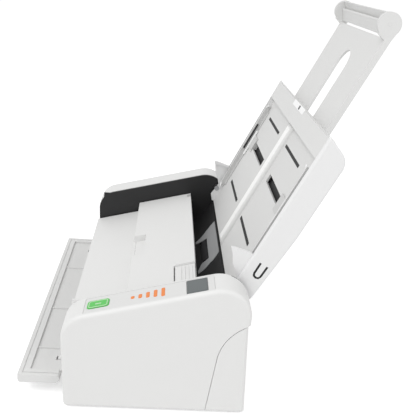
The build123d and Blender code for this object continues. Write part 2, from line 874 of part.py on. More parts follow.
feed_phase = 0.0
motor_phase = meshed(feed_axis, feed_teeth, feed_phase, motor_axis, motor_teeth)
pickup_idler_phase = meshed(feed_axis, feed_teeth, feed_phase, pickup_idler_axis, pickup_idler_teeth)
pickup_phase = meshed(pickup_idler_axis, pickup_idler_teeth, pickup_idler_phase,
                      pickup_axis, pickup_teeth)
transport_idler_phase = meshed(feed_axis, feed_teeth, feed_phase,
                               transport_idler_axis, transport_idler_teeth)
transport_phase = meshed(transport_idler_axis, transport_idler_teeth, transport_idler_phase,
                         transport_axis, transport_teeth)
exit_idler_phase = meshed(transport_axis, transport_teeth, transport_phase,
                          exit_idler_axis, exit_idler_teeth)
exit_phase = meshed(exit_idler_axis, exit_idler_teeth, exit_idler_phase, exit_axis, exit_teeth)
idler_bore = thin_shaft_radius + running_gap
gears = {
    "feed_gear": (feed_axis, feed_teeth, feed_phase, shaft_radius),
    "pickup_gear": (pickup_axis, pickup_teeth, pickup_phase, shaft_radius),
    "transport_gear": (transport_axis, transport_teeth, transport_phase, shaft_radius),
    "exit_gear": (exit_axis, exit_teeth, exit_phase, shaft_radius),
    "pickup_idler_gear": (pickup_idler_axis, pickup_idler_teeth, pickup_idler_phase, idler_bore),
    "transport_idler_gear": (transport_idler_axis, transport_idler_teeth, transport_idler_phase,
                             idler_bore),
    "exit_idler_gear": (exit_idler_axis, exit_idler_teeth, exit_idler_phase, idler_bore),
}
for name, (axis, teeth, phase, bore) in gears.items():
    save(make_gear(axis, teeth, phase, bore), name)

with BuildPart() as idler_pins:
    for axis in idler_axes:
        rod(side(gear_x - 0.8), axis, thin_shaft_radius, -gear_x + 0.8 - inner_x)
save(idler_pins.part, "idler_pins")

# Motor: its can stands between the cheeks, its pinion turns in the gear plane
motor_shaft_radius = 2.0
with BuildPart() as motor:
    rod(side(-inner_x), motor_axis, motor_radius, motor_length)
    fillet(motor.edges().filter_by(GeomType.CIRCLE), radius=1.0)
    rod(side(-wall_x), motor_axis, bush_radius - 0.2, inner_wall_thickness)
    rod(side(-wall_x), motor_axis, motor_shaft_radius + running_gap, 12, Mode.SUBTRACT)
save(motor.part, "drive_motor")
with BuildPart() as pinion:
    extrude(gear_area(side(gear_x), motor_axis, motor_teeth, motor_phase, motor_shaft_radius - 0.5),
            amount=gear_width)
    rod(side(gear_x), motor_axis, motor_shaft_radius, -gear_x - wall_x + 8)
save(pinion.part, "motor_pinion")

# The board with its sockets at the back
socket_depth = 12.0
socket_rear_y = rear_foot_y - 3.6
board_front_y = 12.0
board_low_x = -10.0
board_high_x = 96.0
board_thickness = 1.6
board_z = socket_z - usb_height / 2 - board_thickness
post_inset = 5.0
post_radius = 2.5
board_chips = ((10, 30, 14, 14, 2.0), (36, 30, 10, 10, 1.6), (60, 28, 8, 16, 3.0))
with BuildPart() as board:
    slab(Plane(origin=(0, body_y, board_z)), (board_low_x, board_front_y),
         (board_high_x, socket_rear_y), board_thickness)
    for x in (board_low_x + post_inset, board_high_x - post_inset):
        for y in (board_front_y + post_inset, socket_rear_y - post_inset - 3):
            with Locations(Plane(origin=(x, body_y + y, base_top))):
                Cylinder(post_radius, board_z - base_top, align=(Align.CENTER, Align.CENTER, Align.MIN))
    for x, y, length, depth, height in board_chips:
        with Locations(Plane(origin=(x, body_y + y, board_z + board_thickness))):
            Box(length, depth, height, align=(Align.CENTER, Align.CENTER, Align.MIN))
save(board.part, "main_board")
socket_wall = 1.0
socket_bottom = 2.0
power_mouth_radius = 3.3
power_block_half = 4.0
socket_face = Plane(origin=(0, body_y + socket_rear_y - socket_depth, 0), x_dir=(1, 0, 0),
                    z_dir=(0, 1, 0))
socket_mouth = socket_face.offset(socket_bottom)
with BuildPart() as usb_socket:
    usb_half = usb_width / 2 - fit_gap
    usb_rise = usb_height / 2 - fit_gap
    slab(socket_face, (usb_x - usb_half, -socket_z - usb_rise),
         (usb_x + usb_half, -socket_z + usb_height / 2), socket_depth)
    slab(socket_mouth, (usb_x - usb_half + socket_wall, -socket_z - usb_rise + socket_wall),
         (usb_x + usb_half - socket_wall, -socket_z + usb_rise - socket_wall), socket_depth, Mode.SUBTRACT)
save(usb_socket.part, "usb_socket")
with BuildPart() as power_socket:
    rod(socket_face, (power_x, -socket_z), power_radius - fit_gap, socket_depth)
    slab(socket_face, (power_x - power_block_half, -socket_z),
         (power_x + power_block_half, -socket_z + usb_height / 2), socket_depth - 3)
    rod(socket_mouth, (power_x, -socket_z), power_mouth_radius, socket_depth, Mode.SUBTRACT)
save(power_socket.part, "power_socket")

# Control strip, screen, lamps and start button, all on the right-hand pod's top
with BuildPart() as panel:
    strip(panel_front_y + 0.2, panel_rear_y - 0.2, panel_width - 0.4, -panel_thickness,
          panel_thickness - 0.15, 1.3)
    half = button_length / 2
    strip(button_y - half, button_y + half, button_width, 1, -4, 2.8, Mode.SUBTRACT)
    half = screen_length / 2
    strip(screen_y - half, screen_y + half, screen_width, 1, -4, 0.6, Mode.SUBTRACT)
save(panel.part, "control_panel")
with BuildPart() as screen:
    half = screen_length / 2 - 0.1
    strip(screen_y - half, screen_y + half, screen_width - 0.2, -panel_thickness,
          panel_thickness - 0.25, 0.5)
save(screen.part, "display_window")
with BuildPart() as button:
    half = button_length / 2 - 0.25
    strip(button_y - half, button_y + half, button_width - 0.5, -panel_thickness + button_travel + 0.1,
          panel_thickness - button_travel + 0.3, 2.6)
    half = button_length / 2 - 1.4
    strip(button_y - half, button_y + half, button_width - 2.8, -wall - 1.5, wall + 1.5, 1.6)
save(button.part, "start_button")
with BuildPart() as lamps:
    for index in range(lamp_count):
        y = lamp_y + (index - (lamp_count - 1) / 2) * lamp_pitch
        strip(y - lamp_length / 2, y + lamp_length / 2, lamp_width + lamp_growth * index, -0.15, 0.3, 1.2)
save(lamps.part, "indicator_lamps")

# Output tray: a shallow pan with a broad rim, open at the back, hinged on the front panel's ears
out_top_z = out_pivot_z + out_top_rise
out_low_z = out_top_z - out_thickness
out_rear_y = out_pivot_y + out_rear_gap
out_floor = 2.2
line_inset = 3.4
line_width = 0.9
line_depth = 0.7
out_rib_width = 1.6
out_pin_length = 12.0
with BuildPart() as out_tray:
    profile = [
        (out_rear_y, out_low_z + 2.5),
        (out_rear_y, out_top_z - 1.8),
        (out_rear_y - 1.4, out_top_z),
        (out_front_y, out_top_z),
        (out_front_y, out_low_z + 2.2),
        (out_front_y + 1.4, out_low_z),
        (out_pivot_y, out_low_z),
    ]
    prism(side(-out_half_width), profile, 2 * out_half_width)
    fillet(out_tray.edges().filter_by(Axis.Z).sort_by(Axis.Y)[:2], radius=1.0)
    pan_low = (-out_half_width + out_rim, out_front_y + out_rim)
    pan_high = (out_half_width - out_rim, out_rear_y + 1)
    pan_level = Plane(origin=(0, body_y, out_top_z))
    slab(pan_level, pan_low, pan_high, -out_floor, Mode.SUBTRACT)
    slab(pan_level, (-out_half_width + line_inset, out_front_y + line_inset),
         (out_half_width - line_inset, out_front_y + line_inset + line_width), -line_depth, Mode.SUBTRACT)
    for x in (-out_half_width + line_inset, out_half_width - line_inset - line_width):
        slab(pan_level, (x, out_front_y + line_inset), (x + line_width, out_rear_y), -line_depth,
             Mode.SUBTRACT)
    under = [
        (out_pivot_y - 5.0, out_low_z - 1),
        (out_pivot_y - 5.0, out_top_z - out_floor - out_wall),
        (out_front_y + out_wall, out_top_z - out_floor - out_wall),
        (out_front_y + out_wall, out_low_z - 1),
    ]
    prism(side(-out_half_width + out_wall), under, 2 * (out_half_width - out_wall), Mode.SUBTRACT)
    for x in out_rib_x:
        slab(side(x - out_rib_width / 2), (out_front_y + out_rim - 0.5, out_top_z - out_floor - 0.3),
             (out_rear_y - 2, out_top_z - out_floor + 1.2), out_rib_width)
    for x in (-out_ear_x, out_ear_x):
        slab(pan_level, (x - out_ear_width / 2 - 0.4, out_pivot_y - ear_radius - 1.0),
             (x + out_ear_width / 2 + 0.4, out_rear_y + 1), -out_thickness - 1, Mode.SUBTRACT)
        rod(side(x - out_pin_length / 2), (out_pivot_y, out_pivot_z), out_pin_radius, out_pin_length)
save(out_tray.part, "output_tray")

# Top cover: white shell with a step, finger recess and the pocket of its release
pivot_u, pivot_w = body_to_path(cover_pivot_y, cover_pivot_z)
skin = [
    (cover_front_u, cover_low_w - 3.0),
    (cover_front_u + 0.6, cover_low_w),
    (cover_step_low_u, cover_low_w),
    (cover_step_top_u, cover_top_w),
    (cover_rear_u, cover_top_w),
    (cover_rear_u - 1.6, 14.0),
    (cover_rear_u - 1.6 - cover_wall, 14.0),
    (cover_rear_u - cover_wall - 0.3, cover_top_w - cover_wall),
    (cover_step_top_u + 1.6, cover_top_w - cover_wall),
    (cover_step_low_u + 1.6, cover_low_w - cover_wall),
    (cover_front_u + cover_wall + 0.4, cover_low_w - cover_wall),
    (cover_front_u + cover_wall, cover_low_w - 3.0),
]
cheek_outline = [
    (cover_front_u, cover_low_w - 3.0),
    (cover_front_u + 0.6, cover_low_w),
    (cover_step_low_u, cover_low_w),
    (cover_step_top_u, cover_top_w),
    (cover_rear_u, cover_top_w),
    (cover_rear_u - 1.6, 14.0),
    (36.0, 3.0),
    (-50.0, 3.0),
    (pivot_u, pivot_w - 4.5),
    (pivot_u - 4.0, pivot_w - 2.5),
]
recess_half = recess_width / 2
recess_drop = 6.5
release_pocket = 5.6
release_floor = 1.6
release_rim = 5.0
release_low = cover_top_w - release_pocket
release_front_u = release_u - release_depth / 2
left = release_x - release_width / 2 - fit_gap
right = release_x + release_width / 2 + fit_gap
with BuildPart() as cover:
    prism(path_side(-cover_half), skin, 2 * cover_half)
    for x in (-cover_half, cover_half - cover_wall):
        prism(path_side(x), cheek_outline, cover_wall)
    recess_low = cover_top_w - recess_drop
    slab(path_top(recess_low - cover_wall), (recess_x - recess_half - cover_wall, cover_step_top_u),
         (recess_x + recess_half + cover_wall, cover_step_top_u + recess_depth + cover_wall),
         recess_drop + cover_wall)
    slab(path_top(recess_low), (recess_x - recess_half, cover_step_low_u - 1),
         (recess_x + recess_half, cover_step_top_u + recess_depth), 8, Mode.SUBTRACT)
    slab(path_top(release_low - release_floor), (left - release_floor, release_front_u - release_floor),
         (right + release_floor, cover_rear_u - 0.4), release_pocket + release_floor - 0.2)
    slab(path_top(release_low), (left, release_front_u), (right, cover_rear_u + 1), 8, Mode.SUBTRACT)
    slab(path_top(cover_top_w - 0.1), (left - release_rim, release_front_u + 2),
         (left - 0.6, cover_rear_u - 1), 0.9)
    for x in (-fin_slit_high_x, fin_slit_low_x):
        slab(path_top(15.0), (x, fin_slit_u), (x + fin_slit_high_x - fin_slit_low_x, cover_rear_u + 1),
             cover_top_w, Mode.SUBTRACT)
    for x in (-cover_half, cover_half - cover_wall):
        rod(side(x), cover_pivot, cover_pin_radius, cover_wall, Mode.SUBTRACT)
save(cover.part, "top_cover")

release_top_u = cover_rear_u - 0.6
release_base = release_low + release_travel + fit_gap
release_thickness = 3.2
rib_pitch = 3.4
with BuildPart() as release:
    slab(path_top(release_base), (left + fit_gap, release_front_u + release_gap),
         (right - fit_gap, release_top_u), release_thickness)
    for index in range(4):
        rib_u = release_u + rib_pitch * (index - 1)
        slab(path_top(release_base + release_thickness - 0.2), (left + 3, rib_u), (right - 3, rib_u + 1.2),
             1.0)
save(release.part, "cover_release")

with BuildPart() as cover_pins:
    for x in (-wall_x, cover_half - cover_wall):
        rod(side(x), cover_pivot, cover_pin_radius, wall_x - cover_half + cover_wall)
save(cover_pins.part, "cover_hinge_pins")

# Upper guide: the cover's dark lining, with brackets for its free rollers
lining_front_u = -60.0
lining_rear_u = 35.5
lining_half = cover_half - cover_wall


def bracket(x, centre_u, axis, hole, top_w):
    """Ear that holds the end of a free roller's shaft."""
    half = hole + 3.0
    slab(path_side(x), (centre_u - half, guide_clearance), (centre_u + half, top_w), bracket_thickness)
    rod(side(x), axis, hole, bracket_thickness, Mode.SUBTRACT)


with BuildPart() as lining:
    slab(path_top(guide_clearance), (-lining_half, lining_front_u), (lining_half, lining_rear_u),
         guide_thickness)
    level = guide_clearance + guide_thickness
    window(feed_u, separator_radius, (0,), separator_sleeve, level, -guide_thickness)
    window(transport_u, pinch_radius, tyre_places, tyre_width - 6, level, -guide_thickness)
    window(exit_u, pinch_radius, tyre_places, tyre_width - 6, level, -guide_thickness)
    lens_window(path_top(guide_clearance), upper_sensor_u, 0.2, guide_thickness)
    for x in (-separator_bracket_x - bracket_thickness, separator_bracket_x):
        bracket(x, feed_u, separator_axis, shaft_radius + running_gap, 15)
    for x in (-bracket_x - bracket_thickness, bracket_x):
        bracket(x, transport_u, transport_pinch_axis, thin_shaft_radius + running_gap, 10)
        bracket(x, exit_u, exit_pinch_axis, thin_shaft_radius + running_gap, 10)
    lip = [(lining_rear_u - guide_thickness, guide_clearance), (lining_rear_u, guide_clearance),
           (cover_rear_u - 4.2, 18.0), (cover_rear_u - 6.0, 18.0)]
    prism(path_side(-lining_half), lip, 2 * lining_half)
save(lining.part, "upper_paper_guide")

# Input tray: side plates with round feet, back shell, end wall and the rails inside
rail_x = ext_half_width + 0.4
rail_width = 2.2
ledge = 4.0
plate_low_n = paper_n - paper_thickness
back_skin = 2.2
ext_back_n = ext_front_n - ext_thickness


def side_outline(plane, inset):
    """Side of the tray: straight front, round top corner, tapering to a round foot."""
    corners = [
        (2.0, tray_front_n),
        (tray_length, tray_front_n),
        (tray_length - 10.8, tray_back_n),
        (62.0, tray_back_n),
        (-15.8, -18.2),
        (-15.8, -2.0),
        (-9.0, tray_front_n + 1.8),
    ]
    radii = [1.5, 0.8, 13.0, 60.0, 15.5, 1.0, 1.0]
    with BuildSketch(plane) as area:
        with BuildLine():
            FilletPolyline(*corners, radius=radii, close=True)
        make_face()
        if inset > 0:
            offset(amount=-inset, kind=Kind.INTERSECTION)
    return area.sketch


def u_cut(x):
    """Thin U-shaped slit that frees a spring tongue in a side plate."""
    with BuildSketch(tray_side(x)) as slit:
        with BuildLine() as course:
            FilletPolyline((29.0, -8.0), (15.6, -8.0), (15.0, -14.2), (28.4, -14.8), radius=2.8)
        trace(course.edges(), line_width=1.3)
    extrude(slit.sketch, amount=tray_wall, mode=Mode.SUBTRACT)


with BuildPart() as tray:
    extrude(side_outline(tray_side(-tray_half_width), 0), amount=2 * tray_half_width)
    for end in (0, -1):
        end_face = tray.faces().sort_by(Axis.X)[end]
        rear_edges = end_face.edges().filter_by(
            lambda edge: tray_side(0).to_local_coords(edge @ 0.5).Y < -8.0
        )
        fillet(rear_edges, radius=tray_edge_round)
    half_clear = tray_half_width - tray_wall
    cut = side_outline(tray_side(-half_clear), back_skin)
    extrude(cut, amount=2 * half_clear, mode=Mode.SUBTRACT)
    mouth = [(-30, 8), (tray_length + 9, 8), (tray_length + 9, plate_low_n + 0.5), (-14, plate_low_n - 4.5),
             (-30, plate_low_n)]
    prism(tray_side(-half_clear), mouth, 2 * half_clear, Mode.SUBTRACT)
    slot = [(tray_length - 12, ext_front_n + 0.4), (tray_length + 5, ext_front_n + 0.4),
            (tray_length + 5, ext_back_n - 0.4), (tray_length - 12, ext_back_n - 0.4)]
    prism(tray_side(-rail_x), slot, 2 * rail_x, Mode.SUBTRACT)
    for sign in (-1, 1):
        start = rail_x if sign > 0 else -rail_x - rail_width
        slab(tray_side(start), (8, -20.0), (tray_length - 8, plate_low_n), rail_width)
        start = rail_x - ledge if sign > 0 else -rail_x
        slab(tray_side(start), (8, ext_back_n - 0.3 - 1.4), (tray_length - 8, ext_back_n - 0.3), ledge)
    slab(tray_face(plate_low_n - 2.6), (-rail_x - rail_width - 0.1, 58), (rail_x + rail_width + 0.1, 89),
         2.8, Mode.SUBTRACT)
    for x in (-tray_half_width, half_clear):
        rod(tray_side(x), (0, 0), tray_pin_radius, tray_wall, Mode.SUBTRACT)
        u_cut(x)
save(tray.part, "input_tray")

# Fins at the foot of the tray that steer the paper's edges, each with a lip along its top
with BuildPart() as fins:
    fin = [(fin_low_t, paper_n + 0.1), (fin_low_t, tray_front_n), (11.0, 5.0), (17.0, 11.5), (25.0, 16.5),
           (fin_tip_t, fin_tip_n), (fin_tip_t + 1.2, 16.0), (fin_tip_t + 3.0, tray_front_n),
           (fin_tip_t + 3.0, paper_n + 0.1)]
    lip = [(25.0, 16.5), (fin_tip_t, fin_tip_n), (fin_tip_t + 1.2, 16.0), (fin_tip_t + 3.0, tray_front_n),
           (fin_tip_t + 0.4, tray_front_n), (fin_tip_t - 1.2, 14.0)]
    for sign in (-1, 1):
        prism(tray_side(half_clear - fin_thickness if sign > 0 else -half_clear), fin, fin_thickness)
        prism(tray_side(half_clear - fin_lip if sign > 0 else -half_clear), lip, fin_lip)
save(fins.part, "tray_fins")

# Paper surface: a plate between the side plates, slotted for the guides, with its ridge
slot_rows = ((22.6, 25.0), (bar_low_t - 18.4, bar_low_t - 16.0))
slot_spans = ((-90.0, -27.0), (15.0, 78.0))
guide_slot_low_x = guide_foot_x - guide_travel - 4.0
guide_slot_high_x = guide_foot_x + 6.0
with BuildPart() as surface:
    face_half = half_clear - 0.1
    plate_base = tray_face(plate_low_n)
    slab(plate_base, (-face_half, paper_low_t), (face_half, bar_low_t), paper_thickness)
    for low_t, high_t in slot_rows:
        for low_x, high_x in slot_spans:
            slab(plate_base, (low_x, low_t), (high_x, high_t), paper_thickness, Mode.SUBTRACT)
    for sign in (-1, 1):
        slab(plate_base, (sign * guide_slot_low_x, guide_slot_low_t),
             (sign * guide_slot_high_x, guide_slot_top_t), paper_thickness, Mode.SUBTRACT)
    ridge_low_x = ridge_x - ridge_width / 2
    crest = paper_n + ridge_height
    ridge = [(ridge_low_x - ridge_slope, -paper_n + 0.3), (ridge_low_x, -crest),
             (ridge_low_x + ridge_width, -crest), (ridge_low_x + ridge_width + 1.0, -paper_n + 0.3)]
    prism(tray_across(paper_low_t + 1), ridge, bar_low_t - paper_low_t - 1)
    for low_t, high_t in ((paper_low_t + 1, paper_low_t + 7), (bar_low_t, bar_low_t - 3)):
        bevel = [(low_t, paper_n), (high_t, crest + 0.1), (low_t, crest + 0.1)]
        prism(tray_side(ridge_low_x - ridge_slope), bevel, ridge_slope + ridge_width + 2, Mode.SUBTRACT)
    pinion_post = tray_face(plate_low_n)
    rod(pinion_post, (0, (guide_slot_low_t + guide_slot_top_t) / 2), 1.5, -rack_thickness - 0.8)
save(surface.part, "paper_surface")

# Top bar of the tray, flush with its rims, above the mouth of the extension
with BuildPart() as bar:
    bar_top_t = tray_length - 2.6
    section = [(bar_low_t, plate_low_n), (bar_low_t + 1.4, tray_front_n - 0.2),
               (bar_top_t, tray_front_n - 0.2), (bar_top_t, plate_low_n + 0.5),
               (bar_top_t - 2.0, plate_low_n + 0.5), (bar_top_t - 2.0, tray_front_n - 2.4),
               (bar_low_t + 3.4, tray_front_n - 2.4), (bar_low_t + 2.0, plate_low_n)]
    prism(tray_side(-face_half), section, 2 * face_half)
save(bar.part, "tray_top_bar")

with BuildPart() as tray_pins:
    for x in (-wall_x, half_clear):
        rod(tray_side(x), (0, 0), tray_pin_radius, wall_x - half_clear)
save(tray_pins.part, "tray_hinge_pins")

# Paper guides: a rail above the surface, a foot in its slot and a rack below it
rack_face = plate_low_n - 0.25
pinion_radius = pitch_radius(pinion_teeth)
rack_mid_t = (guide_slot_low_t + guide_slot_top_t) / 2
tooth_pitch = pi * gear_module
rail_base = paper_n + 0.2
foot_half = 2.6


def make_guide(sign):
    """Left (-1) or right (+1) guide at its widest place."""
    rail_low = sign * guide_x
    rail_high = sign * (guide_x + guide_wall)
    foot_in = sign * (guide_foot_x - foot_half)
    foot_out = sign * (guide_foot_x + foot_half)
    pitch_t = rack_mid_t - sign * (pinion_radius + mesh_gap)
    tooth_root_t = pitch_t - sign * 1.0 * gear_module
    rack_back_t = tooth_root_t - sign * rack_width
    rack_end = -sign * (pinion_radius + 4)
    with BuildPart() as guide:
        slab(tray_face(rail_base), (rail_low, guide_low_t), (rail_high, guide_top_t),
             tray_front_n - 0.1 - rail_base)
        slab(tray_face(rail_base), (foot_in, guide_slot_low_t - 4),
             (rail_low, guide_slot_top_t + 4), 1.0)
        slab(tray_face(rail_base), (rail_low, guide_low_t + 4), (rail_low - sign * 5, guide_top_t - 6), 0.8)
        slab(tray_face(rack_face), (foot_in, guide_slot_low_t + 0.4),
             (foot_out, guide_slot_top_t - 0.4), rail_base - rack_face + 0.5)
        near_t = guide_slot_top_t - 0.4 if sign < 0 else guide_slot_low_t + 0.4
        slab(tray_face(rack_face), (foot_in, near_t), (foot_out, rack_back_t), -rack_thickness)
        slab(tray_face(rack_face), (foot_in, guide_slot_low_t + 0.4),
             (foot_out, guide_slot_top_t - 0.4), -rack_thickness)
        slab(tray_face(rack_face), (rack_end, tooth_root_t), (foot_out, rack_back_t), -rack_thickness)
        count = int((guide_travel + 2 * pinion_radius) / tooth_pitch)
        for index in range(count):
            x = sign * tooth_pitch * (index - 1)
            tooth = [
                (x - 0.95 * gear_module, tooth_root_t - sign * 0.3),
                (x - 0.62 * gear_module, pitch_t),
                (x - 0.26 * gear_module, pitch_t + sign * 0.75 * gear_module),
                (x + 0.26 * gear_module, pitch_t + sign * 0.75 * gear_module),
                (x + 0.62 * gear_module, pitch_t),
                (x + 0.95 * gear_module, tooth_root_t - sign * 0.3),
            ]
            prism(tray_face(rack_face), tooth, -rack_thickness)
    return guide.part


save(make_guide(-1), "left_guide")
save(make_guide(1), "right_guide")
with BuildPart() as guide_pinion:
    gear_plane = tray_face(rack_face)
    phase = 90.0 + 180.0 / pinion_teeth
    extrude(gear_area(gear_plane, (0, rack_mid_t), pinion_teeth, phase, 1.5 + running_gap),
            amount=-rack_thickness)
save(guide_pinion.part, "guide_pinion")

# Extension: a flat tongue with side walls and a long pointed slot, ears at its end
with BuildPart() as extension:
    slab(tray_face(ext_front_n), (-ext_half_width, ext_low_t), (ext_half_width, ext_plate_t), -ext_skin)
    for x in (-ext_half_width, ext_half_width - ext_skin):
        slab(tray_side(x), (ext_low_t, ext_back_n), (ext_plate_t, ext_front_n), ext_skin)
    for low_t in (ext_low_t, ext_plate_t - ext_skin):
        slab(tray_side(-ext_half_width), (low_t, ext_back_n), (low_t + ext_skin, ext_front_n),
             2 * ext_half_width)
    with BuildSketch(tray_face(ext_front_n + 1)) as opening:
        with BuildLine():
            Line((ext_slot_x - ext_slot_half, ext_slot_low_t), (ext_slot_x + ext_slot_half, ext_slot_low_t))
            Line((ext_slot_x + ext_slot_half, ext_slot_low_t), (ext_slot_x + ext_slot_half, ext_slot_high_t))
            EllipticalCenterArc((ext_slot_x, ext_slot_high_t), ext_slot_half, ext_slot_tip,
                                start_angle=0, arc_size=180)
            Line((ext_slot_x - ext_slot_half, ext_slot_high_t), (ext_slot_x - ext_slot_half, ext_slot_low_t))
        make_face()
    extrude(opening.sketch, amount=-10, mode=Mode.SUBTRACT)
    for x in (-ext_half_width, ext_half_width - stop_ear_width):
        rod(tray_side(x), (stop_t, stop_n), stop_ear_radius, stop_ear_width)
        arm = [(ext_plate_t - 1.6, ext_front_n), (ext_plate_t + 0.5, -2.5), (stop_t, stop_n),
               (stop_t - 2, stop_n - stop_ear_radius + 0.6), (ext_plate_t + 0.5, ext_back_n),
               (ext_plate_t - 22, ext_back_n)]
        prism(tray_side(x), arm, stop_ear_width)
        rod(tray_side(x), (stop_t, stop_n), stop_pin_radius + running_gap, stop_ear_width, Mode.SUBTRACT)
save(extension.part, "tray_extension")

# Flip-up stop: a curled lip between the ears, on a pin each end
stop_half = ext_half_width - stop_ear_width - 0.4
lip_radius = stop_ear_radius - 0.6
with BuildPart() as stop:
    with BuildSketch(tray_side(-stop_half)) as curl:
        with BuildLine():
            outer = CenterArc((stop_t, stop_n), lip_radius, 200, 200)
            Line(outer @ 1, (stop_t + 2.2, stop_n + 0.2))
            Line((stop_t + 2.2, stop_n + 0.2), (stop_t + 1.4, stop_n + 3.0))
            Line((stop_t + 1.4, stop_n + 3.0), (stop_t + 0.2, stop_n + 3.0))
            Line((stop_t + 0.2, stop_n + 3.0), outer @ 0)
        make_face()
    extrude(curl.sketch, amount=2 * stop_half)
    with BuildSketch(tray_side(-stop_half + 2)) as hollow:
        with Locations((stop_t, stop_n)):
            Circle(lip_radius - 1.8)
        with BuildLine():
            Polyline((stop_t - 12, stop_n - 3.8), (stop_t + 1.0, stop_n + 0.6),
                     (stop_t + 1.0, stop_n + 12), (stop_t - 12, stop_n + 12), close=True)
        make_face(mode=Mode.SUBTRACT)
        with BuildLine():
            Polyline((stop_t + 2.2, stop_n - 1.6), (stop_t + 14, stop_n + 2.6),
                     (stop_t + 14, stop_n + 12), (stop_t - 2, stop_n + 12), close=True)
        make_face(mode=Mode.SUBTRACT)
    extrude(hollow.sketch, amount=2 * stop_half - 4, mode=Mode.SUBTRACT)
    for x in (-ext_half_width, stop_half - 2):
        rod(tray_side(x), (stop_t, stop_n), stop_pin_radius, stop_ear_width + 2.4)
save(stop.part, "paper_stop")

# Screws under the base, one in each boss
screw_head_radius = 2.2
screw_head_height = 1.0
with BuildPart() as screws:
    with Locations(Plane(origin=(0, body_y, 0))):
        with Locations(*[(x, y, body_foot_z) for x, y in boss_places]):
            Cylinder(screw_head_radius, screw_head_height, align=(Align.CENTER, Align.CENTER, Align.MAX))
save(screws.part, "case_screws")

print("shaft centres", feed_axis, pickup_axis, transport_axis, exit_axis)
print("body offset", round(body_y, 3))
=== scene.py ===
import json
from math import cos, pi, radians, sin

import bmesh
import bpy
import numpy as np
from mathutils import Matrix, Vector


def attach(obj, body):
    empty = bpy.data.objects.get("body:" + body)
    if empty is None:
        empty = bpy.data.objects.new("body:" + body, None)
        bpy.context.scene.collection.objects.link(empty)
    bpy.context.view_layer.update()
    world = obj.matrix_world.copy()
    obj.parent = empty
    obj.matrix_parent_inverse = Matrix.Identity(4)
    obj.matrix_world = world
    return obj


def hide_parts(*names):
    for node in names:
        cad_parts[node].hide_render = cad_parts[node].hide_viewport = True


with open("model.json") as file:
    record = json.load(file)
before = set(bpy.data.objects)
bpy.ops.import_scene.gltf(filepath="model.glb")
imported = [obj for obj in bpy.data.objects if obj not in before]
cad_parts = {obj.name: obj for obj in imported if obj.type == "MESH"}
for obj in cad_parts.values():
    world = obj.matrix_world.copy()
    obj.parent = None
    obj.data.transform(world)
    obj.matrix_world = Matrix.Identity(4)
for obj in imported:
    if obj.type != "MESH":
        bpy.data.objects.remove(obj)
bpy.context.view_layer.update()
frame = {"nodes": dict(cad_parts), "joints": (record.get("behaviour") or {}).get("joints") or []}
print("frame loaded with", len(frame["nodes"]), "nodes")

# Where things are, in millimetres and degrees, as the solids have them
layout = {
    "slope": 15.7,          # paper path and pod tops
    "lean": 65.8,           # open input tray
    "pathHeight": 53.5,     # path level where the body's own y is 0
    "podTop": 51.86,        # pod tops above the path
    "trayPivotY": 61.0,     # the open tray's hinge, in the body's own y
    "paperLevel": -3.95,    # face of the tray's paper surface
    "cheekFrontY": -62.0,   # ahead of it the right cheek is pale
    "cheekEdge": -5.0,      # above it, counted from the pod's top, the cheek is pale too
    "baseLevel": 1.5,       # underside of the base plate
}
mm = 0.001
slope = radians(layout["slope"])
lean = radians(layout["lean"])
slopeRise = (0, -sin(slope), cos(slope))
trayRise = (0, -sin(lean), cos(lean))


def jointPlace(name):
    for joint in frame["joints"]:
        if joint["name"] == name:
            return np.array(joint["pos_m"])


pivot = jointPlace("input_tray_hinge")
bodyShift = pivot[1] / mm - layout["trayPivotY"]


# Three ways to place points: upright (x, y, z), along the slope (x, u, w), on the tray (x, t, n)
def upright(x, y, z):
    x, y, z = np.broadcast_arrays(x, y, z)
    return np.stack([x, y + bodyShift, z], -1) * mm


def onSlope(x, u, w):
    x, u, w = np.broadcast_arrays(x, u, w)
    z = layout["pathHeight"] + u * sin(slope) + w * cos(slope)
    return upright(x, u * cos(slope) - w * sin(slope), z)


def onPod(x, u, h):
    return onSlope(x, u, layout["podTop"] + h)


def onTray(x, t, n):
    x, t, n = np.broadcast_arrays(x, t, n)
    y = layout["trayPivotY"] + t * cos(lean) - n * sin(lean)
    return upright(x, y, pivot[2] / mm + t * sin(lean) + n * cos(lean))


def podAlong(y):
    # distance along the slope of a point of the pods' top at this y
    return (y + layout["podTop"] * sin(slope)) / cos(slope)


# Finishes
def linear(*levels):
    # screen levels of 0 to 255 turned to light, dark part straight and the rest a power of 2.4
    scaled = [level / 255 for level in levels]
    light = [v / 12.92 if v <= 0.04045 else ((v + 0.055) / 1.055) ** 2.4 for v in scaled]
    return (*light, 1.0)


def newFinish(name, colour, roughness, metallic=0.0):
    finish = bpy.data.materials.new(name)
    finish.use_nodes = True
    nodes = finish.node_tree.nodes
    links = finish.node_tree.links
    shader = nodes["Principled BSDF"]
    shader.inputs["Base Color"].default_value = colour
    shader.inputs["Roughness"].default_value = roughness
    shader.inputs["Metallic"].default_value = metallic
    finish.diffuse_color = colour
    return finish, nodes, links, shader


def addGrain(nodes, links, shader, scale, height, stretch=(1, 1, 1)):
    # a fine noise on Object coordinates, read as height
    place = nodes.new("ShaderNodeTexCoord")
    mapping = nodes.new("ShaderNodeMapping")
    mapping.inputs["Scale"].default_value = stretch
    noise = nodes.new("ShaderNodeTexNoise")
    noise.inputs["Scale"].default_value = scale
    noise.inputs["Detail"].default_value = 2.0
    bump = nodes.new("ShaderNodeBump")
    bump.inputs["Strength"].default_value = 0.5
    bump.inputs["Distance"].default_value = height
    links.new(place.outputs["Object"], mapping.inputs["Vector"])
    links.new(mapping.outputs["Vector"], noise.inputs["Vector"])
    links.new(noise.outputs["Fac"], bump.inputs["Height"])
    links.new(bump.outputs["Normal"], shader.inputs["Normal"])
    return mapping


